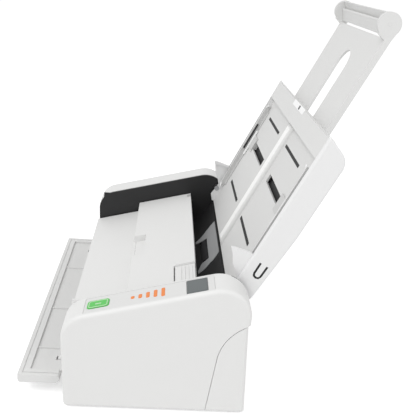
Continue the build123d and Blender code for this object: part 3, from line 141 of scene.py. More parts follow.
def addWear(nodes, links, shader, mapping, scale, low, high):
    # a slow noise that lets the roughness drift between two values
    drift = nodes.new("ShaderNodeTexNoise")
    drift.inputs["Scale"].default_value = scale
    spread = nodes.new("ShaderNodeMapRange")
    spread.inputs["To Min"].default_value = low
    spread.inputs["To Max"].default_value = high
    links.new(mapping.outputs["Vector"], drift.inputs["Vector"])
    links.new(drift.outputs["Fac"], spread.inputs["Value"])
    links.new(spread.outputs["Result"], shader.inputs["Roughness"])


def mouldedPlastic(name, colour, roughness, grain=900.0, height=0.00004):
    finish, nodes, links, shader = newFinish(name, colour, roughness)
    mapping = addGrain(nodes, links, shader, grain, height)
    addWear(nodes, links, shader, mapping, 14.0, roughness - 0.05, roughness + 0.06)
    return finish


def brushedSteel(name, colour, roughness):
    finish, nodes, links, shader = newFinish(name, colour, roughness, 1.0)
    addGrain(nodes, links, shader, 160.0, 0.00002, (0.04, 1, 1))
    return finish


def softRubber(name, colour):
    finish, nodes, links, shader = newFinish(name, colour, 0.82)
    mapping = addGrain(nodes, links, shader, 500.0, 0.0001)
    addWear(nodes, links, shader, mapping, 60.0, 0.74, 0.9)
    shader.inputs["Specular IOR Level"].default_value = 0.3
    return finish


def clearGlass(name, colour):
    finish, nodes, links, shader = newFinish(name, colour, 0.04)
    shader.inputs["Transmission Weight"].default_value = 0.85
    shader.inputs["IOR"].default_value = 1.5
    return finish


def circuitBoard(name, colour, trackColour):
    # a brick pattern on Object coordinates: dark cells with lighter tracks between them
    finish, nodes, links, shader = newFinish(name, colour, 0.35)
    place = nodes.new("ShaderNodeTexCoord")
    brick = nodes.new("ShaderNodeTexBrick")
    brick.inputs["Scale"].default_value = 210.0
    brick.inputs["Color1"].default_value = colour
    brick.inputs["Color2"].default_value = colour
    brick.inputs["Mortar"].default_value = trackColour
    brick.inputs["Mortar Size"].default_value = 0.06
    links.new(place.outputs["Object"], brick.inputs["Vector"])
    links.new(brick.outputs["Color"], shader.inputs["Base Color"])
    return finish


def heightAlong(nodes, links, source, direction):
    # the height of a point along a direction is their dot product
    height = nodes.new("ShaderNodeVectorMath")
    height.operation = "DOT_PRODUCT"
    height.inputs[1].default_value = direction
    links.new(source, height.inputs[0])
    return height.outputs["Value"]


def mathStep(nodes, links, operation, first, second):
    # the second value is a plain number or another node's output
    step = nodes.new("ShaderNodeMath")
    step.operation = operation
    links.new(first, step.inputs[0])
    if isinstance(second, float):
        step.inputs[1].default_value = second
    else:
        links.new(second, step.inputs[1])
    return step.outputs["Value"]


def mixColours(nodes, links, shader, share, colours):
    # the base colour goes from the first colour to the second as share goes from 0 to 1
    mix = nodes.new("ShaderNodeMix")
    mix.data_type = "RGBA"
    mix.inputs["A"].default_value = colours[0]
    mix.inputs["B"].default_value = colours[1]
    links.new(share, mix.inputs["Factor"])
    links.new(mix.outputs["Result"], shader.inputs["Base Color"])


def ridgeHighlightPlastic(name, colours, roughness, low=0.6, high=4.0):
    # the height over the tray's face picks between the face's colour, up to low, and a lighter colour, from
    # high on, which is a painted highlight on the ridges standing in for their lit faces
    finish, nodes, links, shader = newFinish(name, colours[0], roughness)
    addGrain(nodes, links, shader, 900.0, 0.00004)
    place = nodes.new("ShaderNodeTexCoord")
    height = heightAlong(nodes, links, place.outputs["Object"], trayRise)
    face = float(np.dot(onTray(0, 0, layout["paperLevel"]), trayRise))
    spread = nodes.new("ShaderNodeMapRange")
    spread.inputs["From Min"].default_value = face + low * mm
    spread.inputs["From Max"].default_value = face + high * mm
    links.new(height, spread.inputs["Value"])
    mixColours(nodes, links, shader, spread.outputs["Result"], colours)
    return finish


def cheekPlastic(name, colours, frontY, edgeHeight):
    # a dark cheek whose edge is pale: ahead of one place y, and over one height above the slope
    finish, nodes, links, shader = newFinish(name, colours[0], 0.6)
    mapping = addGrain(nodes, links, shader, 700.0, 0.00006)
    parts = nodes.new("ShaderNodeSeparateXYZ")
    links.new(mapping.outputs["Vector"], parts.inputs["Vector"])
    height = heightAlong(nodes, links, mapping.outputs["Vector"], slopeRise)
    ahead = mathStep(nodes, links, "LESS_THAN", parts.outputs["Y"], frontY)
    above = mathStep(nodes, links, "GREATER_THAN", height, edgeHeight)
    either = mathStep(nodes, links, "MAXIMUM", ahead, above)
    mixColours(nodes, links, shader, either, colours)
    return finish


finishes = {
    "cheekBlack": cheekPlastic(
        "cheekBlack", (linear(24, 24, 25), linear(222, 222, 221)),
        float((bodyShift + layout["cheekFrontY"]) * mm),
        float(np.dot(onPod(0, 0, layout["cheekEdge"]), slopeRise)),
    ),
    # the paper surface's ridges get a lighter colour, a painted highlight
    "surfaceGrey": ridgeHighlightPlastic("surfaceGrey", (linear(216, 216, 215), linear(248, 248, 247)), 0.55),
    "shellWhite": mouldedPlastic("shellWhite", linear(226, 226, 225), 0.5),
    "trayWhite": mouldedPlastic("trayWhite", linear(219, 219, 218), 0.5),
    "plateWhite": mouldedPlastic("plateWhite", linear(231, 231, 231), 0.45),
    "catchWhite": mouldedPlastic("catchWhite", linear(221, 221, 220), 0.5),
    "railWhite": mouldedPlastic("railWhite", linear(246, 246, 246), 0.45),
    "guideGrey": mouldedPlastic("guideGrey", linear(200, 200, 199), 0.5),
    "cavityBlack": mouldedPlastic("cavityBlack", linear(24, 24, 25), 0.6, 700.0, 0.00006),
    "mouthGrey": mouldedPlastic("mouthGrey", linear(172, 173, 174), 0.42),
    "stripGrey": mouldedPlastic("stripGrey", linear(219, 219, 218), 0.38),
    # grey for the painted shade of the near guide's line, and the colour of the latch key
    "grooveShadeAndKeyGrey": mouldedPlastic("grooveShadeAndKeyGrey", linear(96, 96, 97), 0.6),
    # black for painted shade and painted shadows in slots and slits, and on the far guide's line
    "paintedShadeBlack": mouldedPlastic("paintedShadeBlack", linear(26, 26, 27), 0.7),
    "gearWhite": mouldedPlastic("gearWhite", linear(228, 225, 212), 0.4),
    "rollerGrey": softRubber("rollerGrey", linear(92, 93, 95)),
    "tyreBlack": softRubber("tyreBlack", linear(44, 44, 46)),
    "footBlack": softRubber("footBlack", linear(38, 38, 39)),
    "shaftSteel": brushedSteel("shaftSteel", linear(190, 191, 193), 0.28),
    "motorSteel": brushedSteel("motorSteel", linear(172, 174, 177), 0.34),
    "socketSteel": brushedSteel("socketSteel", linear(196, 197, 199), 0.24),
    "scanGlass": clearGlass("scanGlass", linear(214, 232, 228)),
    "boardGreen": circuitBoard("boardGreen", linear(20, 92, 52), linear(70, 140, 92)),
    "screenGrey": newFinish("screenGrey", linear(92, 98, 99), 0.3)[0],
    "screenEdge": newFinish("screenEdge", linear(96, 102, 102), 0.35)[0],
    "signPale": newFinish("signPale", linear(186, 218, 179), 0.35)[0],
    "keyGreen": newFinish("keyGreen", linear(84, 192, 84), 0.3)[0],
    "lampOrange": newFinish("lampOrange", linear(232, 132, 60), 0.25)[0],
    "contactGold": newFinish("contactGold", linear(214, 180, 110), 0.3, 1.0)[0],
    "partBlack": newFinish("partBlack", linear(30, 30, 32), 0.45)[0],
    "labelGrey": newFinish("labelGrey", linear(198, 199, 200), 0.55)[0],
}
print("finishes made:", len(finishes))

nodeFinish = {
    "shellWhite": [
        "right_pod", "left_pod", "rear_cover", "front_panel", "top_cover", "cover_release",
    ],
    "trayWhite": ["tray_extension", "paper_stop", "tray_top_bar"],
    "plateWhite": ["input_tray", "tray_fins"],
    "catchWhite": ["output_tray"],
    "cheekBlack": ["right_inner_wall"],
    "surfaceGrey": ["paper_surface"],
    "guideGrey": ["left_guide", "right_guide"],
    "cavityBlack": [
        "base_plate", "left_inner_wall", "lower_paper_guide", "entry_chute", "upper_paper_guide",
        "lower_sensor_bar", "upper_sensor_bar", "usb_socket", "power_socket",
    ],
    "mouthGrey": ["pickup_frame"],
    "stripGrey": ["control_panel"],
    "gearWhite": [
        "shaft_bushes", "feed_gear", "pickup_gear", "transport_gear", "exit_gear", "pickup_idler_gear",
        "transport_idler_gear", "exit_idler_gear", "motor_pinion", "guide_pinion",
    ],
    "rollerGrey": ["separation_roller", "transport_pinch_roller", "exit_pinch_roller"],
    "tyreBlack": ["feed_roller", "pickup_roller", "transport_roller", "exit_roller"],
    "footBlack": ["rubber_feet"],
    "shaftSteel": [
        "feed_shaft", "pickup_shaft", "transport_shaft", "exit_shaft", "idler_pins", "cover_hinge_pins",
        "tray_hinge_pins", "case_screws",
    ],
    "motorSteel": ["drive_motor"],
    "scanGlass": ["lower_glass", "upper_glass"],
    "boardGreen": ["main_board"],
    "screenGrey": ["display_window"],
    "keyGreen": ["start_button"],
    "lampOrange": ["indicator_lamps"],
}
for finishName, nodeNames in nodeFinish.items():
    for nodeName in nodeNames:
        node = frame["nodes"][nodeName]
        node.data.materials.clear()
        node.data.materials.append(finishes[finishName])
print("nodes painted")


# Surfaces: rows of points joined into quads
sharpAngle = radians(38)


def gridQuads(rows, columns):
    # each quad joins a point with its neighbours in the next row and column, wrapping round the row
    row, column = np.meshgrid(np.arange(rows - 1), np.arange(columns), indexing="ij")
    following = (column + 1) % columns
    quads = (row * columns + column, row * columns + following,
             (row + 1) * columns + following, (row + 1) * columns + column)
    return np.stack(quads, -1).reshape(-1, 4).tolist()


def makePiece(name, points, faces, finish, body, stands=()):
    mesh = bpy.data.meshes.new(name)
    mesh.from_pydata(points.reshape(-1, 3).tolist(), [], faces)
    shell = bmesh.new()
    shell.from_mesh(mesh)
    bmesh.ops.remove_doubles(shell, verts=shell.verts, dist=1e-6)
    bmesh.ops.recalc_face_normals(shell, faces=shell.faces)
    shell.to_mesh(mesh)
    shell.free()
    mesh.polygons.foreach_set("use_smooth", [True] * len(mesh.polygons))
    mesh.materials.append(finishes[finish])
    piece = bpy.data.objects.new(name, mesh)
    bpy.context.scene.collection.objects.link(piece)
    mesh.set_sharp_from_angle(angle=sharpAngle)
    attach(piece, body)
    if stands:
        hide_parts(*stands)
    return piece


def ringPiece(name, rings, finish, body, stands=()):
    # rings is an array rings x points x 3; both end rings are closed by one face each
    rows, columns = rings.shape[:2]
    faces = gridQuads(rows, columns)
    faces.append(list(range(columns))[::-1])
    faces.append([(rows - 1) * columns + column for column in range(columns)])
    return makePiece(name, rings, faces, finish, body, stands)


def joinPieces(name, pieces, stands=()):
    # several pieces of one finish and one body become one object
    whole = pieces[0]
    if len(pieces) > 1:
        bpy.ops.object.select_all(action="DESELECT")
        for piece in pieces:
            piece.select_set(True)
        bpy.context.view_layer.objects.active = whole
        bpy.ops.object.join()
    whole.name = name
    if stands:
        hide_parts(*stands)


def roundedOutline(width, length, corner, steps=6):
    # four quarter circles whose centres stand one corner radius inside a rectangle
    corner = max(min(corner, width / 2 - 1e-4, length / 2 - 1e-4), 1e-4)
    turns = np.linspace(0, pi / 2, steps)[None, :] + (pi / 2 * np.arange(4))[:, None]
    signX = np.array([1, -1, -1, 1])[:, None]
    signY = np.array([1, 1, -1, -1])[:, None]
    x = signX * (width / 2 - corner) + corner * np.cos(turns)
    y = signY * (length / 2 - corner) + corner * np.sin(turns)
    return x.ravel(), y.ravel()


def pad(name, centre, size, corner, low, high, edge, place, finish, body, dome=0.0, stands=()):
    # a rounded rectangle rises straight, turns in over a quarter circle of radius edge, then
    # runs to the middle with a height that adds dome times one minus the square of the distance
    width, length = size
    turns = np.linspace(0, pi / 2, 5)
    insets = np.concatenate([[0], edge * (1 - np.cos(turns))])
    heights = np.concatenate([[low], high - edge + edge * np.sin(turns)])
    rings = []
    for inset, height in zip(insets, heights):
        x, y = roundedOutline(width - 2 * inset, length - 2 * inset, corner - inset)
        rings.append(place(centre[0] + x, centre[1] + y, height + 0 * x))
    x, y = roundedOutline(width - 2 * edge, length - 2 * edge, corner - edge)
    for share in (0.8, 0.55, 0.25):
        height = high + dome * (1 - share**2)
        rings.append(place(centre[0] + share * x, centre[1] + share * y, height + 0 * x))
    return ringPiece(name, np.array(rings), finish, body, stands)


def outlineTube(name, centre, size, corner, height, thickness, place, finish, body):
    # a round section of the given radius carried along a rounded rectangle
    x, y = roundedOutline(size[0], size[1], corner, 8)
    around = np.linspace(0, 2 * pi, 10, endpoint=False)
    nx = np.roll(y, -1) - np.roll(y, 1)
    ny = np.roll(x, 1) - np.roll(x, -1)
    norm = np.hypot(nx, ny)
    across = thickness * np.cos(around)[:, None]
    px = centre[0] + x + across * (nx / norm)
    py = centre[1] + y + across * (ny / norm)
    pz = height + thickness * np.sin(around)[:, None] + 0 * px
    rings = place(px, py, pz)
    closed = np.concatenate([rings, rings[:1]])
    return makePiece(name, closed, gridQuads(*closed.shape[:2]), finish, body)


def turned(name, profile, axis, centre, finish, body):
    # a profile of (distance along the axis, radius) pairs carried round the axis
    along, radius = np.array(profile, float).T
    turns = np.linspace(0, 2 * pi, 40, endpoint=False)
    ring1 = radius[:, None] * np.cos(turns)
    ring2 = radius[:, None] * np.sin(turns)
    axis = np.array(axis, float) / np.linalg.norm(axis)
    side = np.cross(axis, [0, 0, 1.0] if abs(axis[2]) < 0.9 else [1.0, 0, 0])
    side /= np.linalg.norm(side)
    other = np.cross(axis, side)
    points = (np.array(centre) / mm + along[:, None, None] * axis + ring1[..., None] * side
              + ring2[..., None] * other) * mm
    return ringPiece(name, points, finish, body)


# Start button: a dished green key with a pale rim and a plain pale bar
startKey = {
    "x": 135.5, "y": -49.5, "length": 17.0, "width": 11.0, "corner": 2.6, "low": -0.4, "top": 0.3,
    "edge": 0.4, "dish": -0.15, "rim": 0.45, "rimInset": 2.2, "rimCorner": 1.8,
    "barLength": 5.2, "barWidth": 1.6, "barCorner": 0.7, "barEdge": 0.12,
}
keyCentre = (startKey["x"], podAlong(startKey["y"]))
pad("startKeyCap", keyCentre, (startKey["width"], startKey["length"]), startKey["corner"], startKey["low"],
    startKey["top"], startKey["edge"], onPod, "keyGreen", "start_button", startKey["dish"])
rimSize = (startKey["width"] - startKey["rimInset"], startKey["length"] - startKey["rimInset"])
outlineTube("startKeyRim", keyCentre, rimSize, startKey["rimCorner"], startKey["top"] - 0.1,
            startKey["rim"], onPod, "signPale", "start_button")
pad("startKeyBar", keyCentre, (startKey["barWidth"], startKey["barLength"]), startKey["barCorner"],
    startKey["top"] - 0.3, startKey["top"] + 0.1, startKey["barEdge"], onPod, "signPale", "start_button")

# Screen: a slightly domed window, switched off, with a faint line round its face
screen = {
    "x": 135.5, "y": 28.2, "width": 20.2, "length": 16.8, "corner": 0.8, "low": -1.1, "top": 0.05,
    "edge": 0.2, "dome": 0.05, "line": 0.12, "lineInset": 2.6,
}
screenCentre = (screen["x"], podAlong(screen["y"]))
pad("screenWindow", screenCentre, (screen["width"], screen["length"]), screen["corner"], screen["low"],
    screen["top"], screen["edge"], onPod, "screenGrey", "case", screen["dome"], stands=("display_window",))
lineSize = (screen["width"] - screen["lineInset"], screen["length"] - screen["lineInset"])
outlineTube("screenLine", screenCentre, lineSize, screen["corner"], screen["top"], screen["line"], onPod,
            "screenEdge", "case")

# Lamps: five domed orange lenses that grow towards the screen
lamps = {
    "x": 135.5, "y": -10.5, "pitch": 6.0, "length": 3.0, "firstWidth": 4.0, "growth": 2.2, "count": 5,
    "corner": 1.2, "low": -0.2, "top": 0.1, "edge": 0.2, "dome": 0.12,
}
lenses = []
for index in range(lamps["count"]):
    lampAlong = podAlong(lamps["y"] + (index - (lamps["count"] - 1) / 2) * lamps["pitch"])
    lensSize = (lamps["firstWidth"] + lamps["growth"] * index, lamps["length"])
    lenses.append(pad("lamp", (lamps["x"], lampAlong), lensSize, lamps["corner"], lamps["low"],
                      lamps["top"], lamps["edge"], onPod, "lampOrange", "case", lamps["dome"]))
joinPieces("lampRow", lenses, stands=("indicator_lamps",))
print("controls made")


# Tyres: ribbed rubber sleeves on the driven shafts
tyres = {
    "core": 2.9, "ribDepth": 0.35, "ribFade": 0.07, "rounding": 0.7, "roundedShare": 0.025,
    "rollers": {
        "feed_roller": {"radius": 12.0, "places": [0], "width": 44.0, "ribs": 48,
                        "spin": "feed_spin", "body": "feed_drive"},
        "pickup_roller": {"radius": 9.0, "places": [-22], "width": 44.0, "ribs": 40,
                          "spin": "pickup_spin", "body": "pickup_drive"},
        "transport_roller": {"radius": 7.0, "places": [-55, 55], "width": 30.0, "ribs": 36,
                             "spin": "transport_spin", "body": "transport_drive"},
        "exit_roller": {"radius": 7.0, "places": [-55, 55], "width": 30.0, "ribs": 36,
                        "spin": "exit_spin", "body": "exit_drive"},
    },
}


def ribbedSleeve(x, tyre):
    # the radius dips by a raised cosine between ribs, fades out and rounds off towards both ends,
    # and the sleeve closes on its shaft
    centre = jointPlace(tyre["spin"]) / mm
    turns = np.linspace(0, 2 * pi, tyre["ribs"] * 6, endpoint=False)
    share = np.array([-1, -0.995, -0.975, -0.93, -0.5, 0, 0.5, 0.93, 0.975, 0.995, 1.0])
    inwards = 1 - np.abs(share)
    fade = np.clip(inwards / tyres["ribFade"], 0, 1)
    bend = 1 - np.clip(inwards / tyres["roundedShare"], 0, 1)
    rounding = tyres["rounding"] * (1 - np.sqrt(1 - bend**2))
    dip = tyres["ribDepth"] * fade[:, None] * (0.5 - 0.5 * np.cos(tyre["ribs"] * turns))
    closing = np.full((1, len(turns)), tyres["core"])
    radius = np.concatenate([closing, tyre["radius"] - rounding[:, None] - dip, closing])
    along = np.concatenate([[share[0]], share, [share[-1]]]) * tyre["width"] / 2
    px = x + along[:, None] + 0 * turns
    points = np.stack([px, centre[1] + radius * np.cos(turns), centre[2] + radius * np.sin(turns)], -1)
    return ringPiece("sleeve", points * mm, "tyreBlack", tyre["body"])


for nodeName, tyre in tyres["rollers"].items():
    joinPieces(nodeName + "Ribbed", [ribbedSleeve(x, tyre) for x in tyre["places"]], stands=(nodeName,))
print("tyres made")


# Painted shade: dark strips under the slots of the paper surface, which open on the hollow tray, stand in
# for the shade inside it, and thin ones over the narrow slots are painted shadows, as wide as the shadow
# that each row shows
surfaceSlots = {
    "rows": ((22.6, 25.0), (105.6, 108.0)), "spans": ((-90, -27), (15, 78)), "depth": -6.15, "margin": 0.4,
    "guideRow": (69.0, 77.4), "guideSpans": ((-92, -22), (22, 92)), "guideDepth": -8.3,
    "guideMargins": (1.0, 4.0), "thickness": 0.3, "corner": 0.3, "edge": 0.05,
    "shadows": (3.6, 3.0), "shadowLow": -0.1, "shadowTop": 0.06, "shadowCorner": 0.4, "shadowEdge": 0.04,
}


# a dark pad of painted shade on the tray
def shadeStrip(spanX, spanT, size, corner, low, high, edge):
    centre = (sum(spanX) / 2, sum(spanT) / 2)
    return pad("strip", centre, size, corner, low, high, edge, onTray, "paintedShadeBlack", "input_tray")


# a dark sheet of painted shade under a slot
def slotShadeFloor(spanX, spanT, margins, depth):
    size = (spanX[1] - spanX[0] + margins[0], spanT[1] - spanT[0] + margins[1])
    return shadeStrip(spanX, spanT, size, surfaceSlots["corner"], depth - surfaceSlots["thickness"], depth,
                     surfaceSlots["edge"])


strips = []
for row in surfaceSlots["rows"]:
    for span in surfaceSlots["spans"]:
        strips.append(slotShadeFloor(span, row, [surfaceSlots["margin"]] * 2, surfaceSlots["depth"]))
for span in surfaceSlots["guideSpans"]:
    strips.append(slotShadeFloor(span, surfaceSlots["guideRow"], surfaceSlots["guideMargins"],
                            surfaceSlots["guideDepth"]))
# painted shadows over the slot rows
for row, spread in zip(surfaceSlots["rows"], surfaceSlots["shadows"]):
    for span in surfaceSlots["spans"]:
        strips.append(shadeStrip(span, row, (span[1] - span[0], spread), surfaceSlots["shadowCorner"],
                                layout["paperLevel"] + surfaceSlots["shadowLow"],
                                layout["paperLevel"] + surfaceSlots["shadowTop"],
                                surfaceSlots["shadowEdge"]))
joinPieces("slotShadeStrips", strips)
print("slots darkened")

# Rails of the paper guides: a round white bar with hooked ends, a line of painted shade beside it and a
# raised tab
rails = {
    "x": 109.3, "low": 8.0, "top": 116.0, "level": 0.5, "radius": 0.75, "hook": 5.0,
    "between": (30, 60, 90),
    "line": {"inset": 1.6, "width": 1.0, "span": (60.0, 92.0), "corner": 0.3, "low": -1.4, "high": 0.2,
             "edge": 0.1},
    "tab": {"inset": 8.3, "width": 2.4, "span": (55.0, 86.0), "corner": 0.8, "low": -3.2, "high": -1.6,
            "edge": 0.4},
}


def railTube(name, course, radius, finish, body):
    # a round section carried along a course of points, its frame turned with the course
    course = np.array(course, float)
    heading = np.gradient(course, axis=0)
    heading /= np.linalg.norm(heading, axis=1)[:, None]
    across = np.cross(heading, [0, 0, 1.0])
    across /= np.linalg.norm(across, axis=1)[:, None]
    rise = np.cross(across, heading)
    turns = np.linspace(0, 2 * pi, 12, endpoint=False)[None, :, None]
    section = np.cos(turns) * across[:, None, :] + np.sin(turns) * rise[:, None, :]
    points = course[:, None, :] + radius * section
    return ringPiece(name, onTray(points[..., 0], points[..., 1], points[..., 2]), finish, body)


def besideRail(name, side, values, finish, body):
    low, high = values["span"]
    pad(name, (side * (rails["x"] - values["inset"]), (low + high) / 2), (values["width"], high - low),
        values["corner"], values["low"], values["high"], values["edge"], onTray, finish, body)


# the line beside each rail is painted shade, black on the far guide and grey on the near one
for side, body, lineShadeFinish in ((-1, "left_guide", "paintedShadeBlack"), (1, "right_guide", "grooveShadeAndKeyGrey")):
    turns = np.linspace(0, pi / 2, 6)
    hookX = side * (rails["x"] - rails["hook"] * (1 - np.cos(turns)))
    hookT = rails["hook"] * (1 - np.sin(turns))
    lowHook = [(x, rails["low"] + t, rails["level"]) for x, t in zip(hookX, hookT)]
    topHook = [(x, rails["top"] - t, rails["level"]) for x, t in zip(hookX, hookT)]
    middle = [(side * rails["x"], t, rails["level"]) for t in rails["between"]]
    railTube("guideRail", lowHook[::-1] + middle + topHook, rails["radius"], "railWhite", body)
    besideRail("guideShadeLine", side, rails["line"], lineShadeFinish, body)
    besideRail("guideTab", side, rails["tab"], "railWhite", body)

# Latch strip on the tray's top bar, with a grey key in it
latch = {
    "t": 142.3, "level": 1.05,
    "strip": {"x": 0, "size": (46.0, 5.4), "corner": 1.0, "below": 0.6, "above": 0.18, "edge": 0.15},
    "key": {"x": 4.0, "size": (5.0, 4.0), "corner": 0.6, "below": 0.4, "above": 0.2, "edge": 0.1},
}
for name, values, finish in (("latchStrip", latch["strip"], "railWhite"),
                             ("latchKey", latch["key"], "grooveShadeAndKeyGrey")):
    pad(name, (values["x"], latch["t"]), values["size"], values["corner"], latch["level"] - values["below"],
        latch["level"] + values["above"], values["edge"], onTray, finish, "input_tray")

# Frame round the pickup tyre, bent over the chute: a broad bar above the tyre, an arm on each side
mouthFrame = {
    "arcU": 33.157, "arcFoot": -0.8, "radius": 35.8, "turn": 50.1, "thickness": 0.6, "gap": 0.02, "rows": 9,
    "bar": ((36.2, -62, 13), (28, -66, 13), (20, -64, 13)),
    "farArm": ((20.4, -64, -46), (12, -56, -46), (5.6, -50, -46)),
    "nearArm": ((20.4, 1.5, 13), (11, 4, 19.5), (6, 16.5, 22)),
}


def onChute(x, s, h):
    # s runs along the chute from the foot of its arc, h rises from its face towards the arc's centre
    turn = radians(mouthFrame["turn"])
    arc = np.clip(s / mouthFrame["radius"], 0, turn)
    beyond = np.maximum(s - mouthFrame["radius"] * turn, 0)
    reach = mouthFrame["radius"] - h
    u = mouthFrame["arcU"] + reach * np.sin(arc) + beyond * cos(turn)
    w = mouthFrame["arcFoot"] + mouthFrame["radius"] - reach * np.cos(arc) + beyond * sin(turn)
    return onSlope(x, u, w)


def bentStrip(name):
    # rows of (place along the chute, low x, high x), filled in evenly, each a flat four-cornered section
    course = np.array(mouthFrame[name], float)[::-1]
    s = np.linspace(course[0, 0], course[-1, 0], mouthFrame["rows"])
    lowX = np.interp(s, course[:, 0], course[:, 1])
    highX = np.interp(s, course[:, 0], course[:, 2])
    x = np.stack([lowX, highX, highX, lowX], -1)
    h = np.array([0.0, 0.0, 1.0, 1.0])[None, :] * mouthFrame["thickness"] + mouthFrame["gap"]
    return ringPiece(name, onChute(x, s[:, None] + 0 * x, h + 0 * x), "mouthGrey", "case")


bentParts = [bentStrip(part) for part in ("bar", "farArm", "nearArm")]
joinPieces("mouthFrame", bentParts, stands=("pickup_frame",))

# Painted shade: dark ribbons round the U-shaped slits of the tray's side plates, and dark plates behind
# them, stand in for the shade inside the slits
slit = {
    "course": ((29, -8), (18.4, -8), (16.3, -8.9), (15.4, -11), (15.8, -13.3), (17.9, -14.4),
               (28.4, -14.8)),
    "halfWidth": 0.95, "x": 117.72, "depth": 0.12,
}
# each slit gets a ribbon of painted shade
for side in (-1, 1):
    course = np.array(slit["course"], float)
    heading = np.gradient(course, axis=0)
    heading /= np.linalg.norm(heading, axis=1)[:, None]
    reach = np.stack([-heading[:, 1], heading[:, 0]], -1) * slit["halfWidth"]
    edges = np.stack([course - reach, course + reach, course + reach, course - reach], 1)
    out = slit["x"] - slit["depth"] * np.array([1, 1, 0, 0])[None, :] + 0 * edges[..., 0]
    ringPiece("slitShadeRibbon", onTray(side * out, edges[..., 0], edges[..., 1]), "paintedShadeBlack", "input_tray")
tongue = {
    "x": 115.0, "centre": (22.0, -11.5), "size": (19.0, 10.0), "corner": 0.5, "half": 0.1, "edge": 0.05,
}


def onSidePlate(side):
    # the place of flat pads that stand upright beside the tray, their own height pointing outwards
    def place(t, n, out):
        return onTray(side * (tongue["x"] + out), t, n)
    return place


# dark plates of painted shade seen through the slits
for side in (-1, 1):
    pad("tongueShade", tongue["centre"], tongue["size"], tongue["corner"], -tongue["half"], tongue["half"],
        tongue["edge"], onSidePlate(side), "paintedShadeBlack", "input_tray")
print("guides and tongues made")

# Rubber feet: a dished disc with a round rim
feet = {"x": 128.0, "y": (-58.0, 62.0), "radius": 7.0, "height": 1.5, "rim": 0.5, "dish": 0.4}
footPieces = []
for x in (-feet["x"], feet["x"]):
    for y in feet["y"]:
        radius = feet["radius"]
        profile = [(feet["height"], radius - 0.3), (feet["rim"], radius), (0.15, radius - 0.2),
                   (0.0, radius - feet["rim"]), (0.0, radius - 2.2), (feet["dish"], radius - 2.9),
                   (feet["dish"], 0.6)]
        footPieces.append(turned("foot", profile, (0, 0, 1), upright(x, y, 0.0), "footBlack", "case"))
joinPieces("feetDished", footPieces, stands=("rubber_feet",))

# Screws: low domed heads with a cross recess
screws = {
    "x": 105.0, "y": (-45.0, 58.0), "radius": 2.2, "height": 1.0, "dome": 0.35,
    "cross": 0.55, "depth": 0.5, "crossEdge": 0.12, "crossReach": 0.72,
}


def screwHead(x, y):
    # the head is a disc whose height falls off with the square of the distance, less a recess
    # where either direction's distance is below the cross's half width
    rows = np.linspace(0.02, 1, 14)[:, None]
    turns = np.linspace(0, 2 * pi, 48, endpoint=False)[None, :]
    px = screws["radius"] * np.cos(turns)
    py = screws["radius"] * np.sin(turns)
    nearest = rows * np.minimum(np.abs(px), np.abs(py))
    inside = np.clip((screws["cross"] / 2 - nearest) / screws["crossEdge"] + 0.5, 0, 1)
    inside = inside * (rows < screws["crossReach"])
    height = screws["height"] * (1 - screws["dome"] * rows**2) - screws["depth"] * inside
    top = upright(x + rows * px, y + rows * py, feet["height"] - height)
    base = upright(x + px, y + py, feet["height"])
    return ringPiece("head", np.concatenate([top, base]), "shaftSteel", "case")


heads = [screwHead(x, y) for x in (-screws["x"], screws["x"]) for y in screws["y"]]
joinPieces("caseScrewHeads", heads, stands=("case_screws",))
print("feet and screws made")

# Sockets: a bright shell and a contact tongue in the USB well, a pin and a ring in the power well
sockets = {
    "usbX": 40.0, "powerX": 72.0, "z": 22.0, "rearY": 74.0, "well": 9.6, "shellFront": -0.3, "edge": 0.05,
    "shell": {"Left": ((0.35, 8.2), (-4.35, 0)), "Right": ((0.35, 8.2), (4.35, 0)),
              "Low": ((8.9, 0.35), (0, -3.95)), "Top": ((8.9, 0.35), (0, 3.95))},
    "tongueSize": (5.4, 2.6), "tongueLift": 0.4, "tongueFront": -2.0,
    "contactSize": (0.9, 0.35), "contactX": 1.6, "contactLift": 1.85, "contactFront": -2.4,
    "pin": ((-10.2, 0.9), (-3.4, 0.9), (-3.0, 0.7), (-2.8, 0.3)),
    "ring": ((-0.35, 4.6), (0.12, 4.6), (0.2, 4.4), (0.2, 3.5), (0.1, 3.35), (-0.35, 3.35)),
}


def onRear(x, z, out):
    return upright(x, sockets["rearY"] + out, z)


def inUsbWell(name, offset, size, front, corner, edge, finish):
    centre = (sockets["usbX"] + offset[0], sockets["z"] + offset[1])
    return pad(name, centre, size, corner, -sockets["well"], front, edge, onRear, finish, "case")


for side, (size, offset) in sockets["shell"].items():
    inUsbWell("usbShell" + side, offset, size, sockets["shellFront"], 0.1, sockets["edge"], "socketSteel")
inUsbWell("usbTongue", (0, sockets["tongueLift"]), sockets["tongueSize"], sockets["tongueFront"], 0.2, 0.1,
          "partBlack")
contacts = []
for x in (-sockets["contactX"], sockets["contactX"]):
    contacts.append(inUsbWell("contact", (x, sockets["contactLift"]), sockets["contactSize"],
                              sockets["contactFront"], 0.1, sockets["edge"], "contactGold"))
joinPieces("usbContacts", contacts)
powerCentre = upright(sockets["powerX"], sockets["rearY"], sockets["z"])
turned("powerPin", sockets["pin"], (0, 1, 0), powerCentre, "socketSteel", "case")
turned("powerRing", sockets["ring"], (0, 1, 0), powerCentre, "partBlack", "case")
print("sockets made")

# Small parts on the main board: chips as (x, y, width, length, height), cans as (x, y, radius, height)
board = {
    "top": 16.72,
    "chips": ((12, 48, 6, 6, 1.0), (54, 18, 7, 5, 1.2), (22, 22, 5, 4, 0.9)), "corner": 0.3, "edge": 0.15,
    "cans": ((76, 30, 3.2, 9.0), (84, 30, 3.2, 9.0), (80, 22, 2.5, 6.5)),
}


def onBoard(x, y, h):
    return upright(x, y, board["top"] + h)


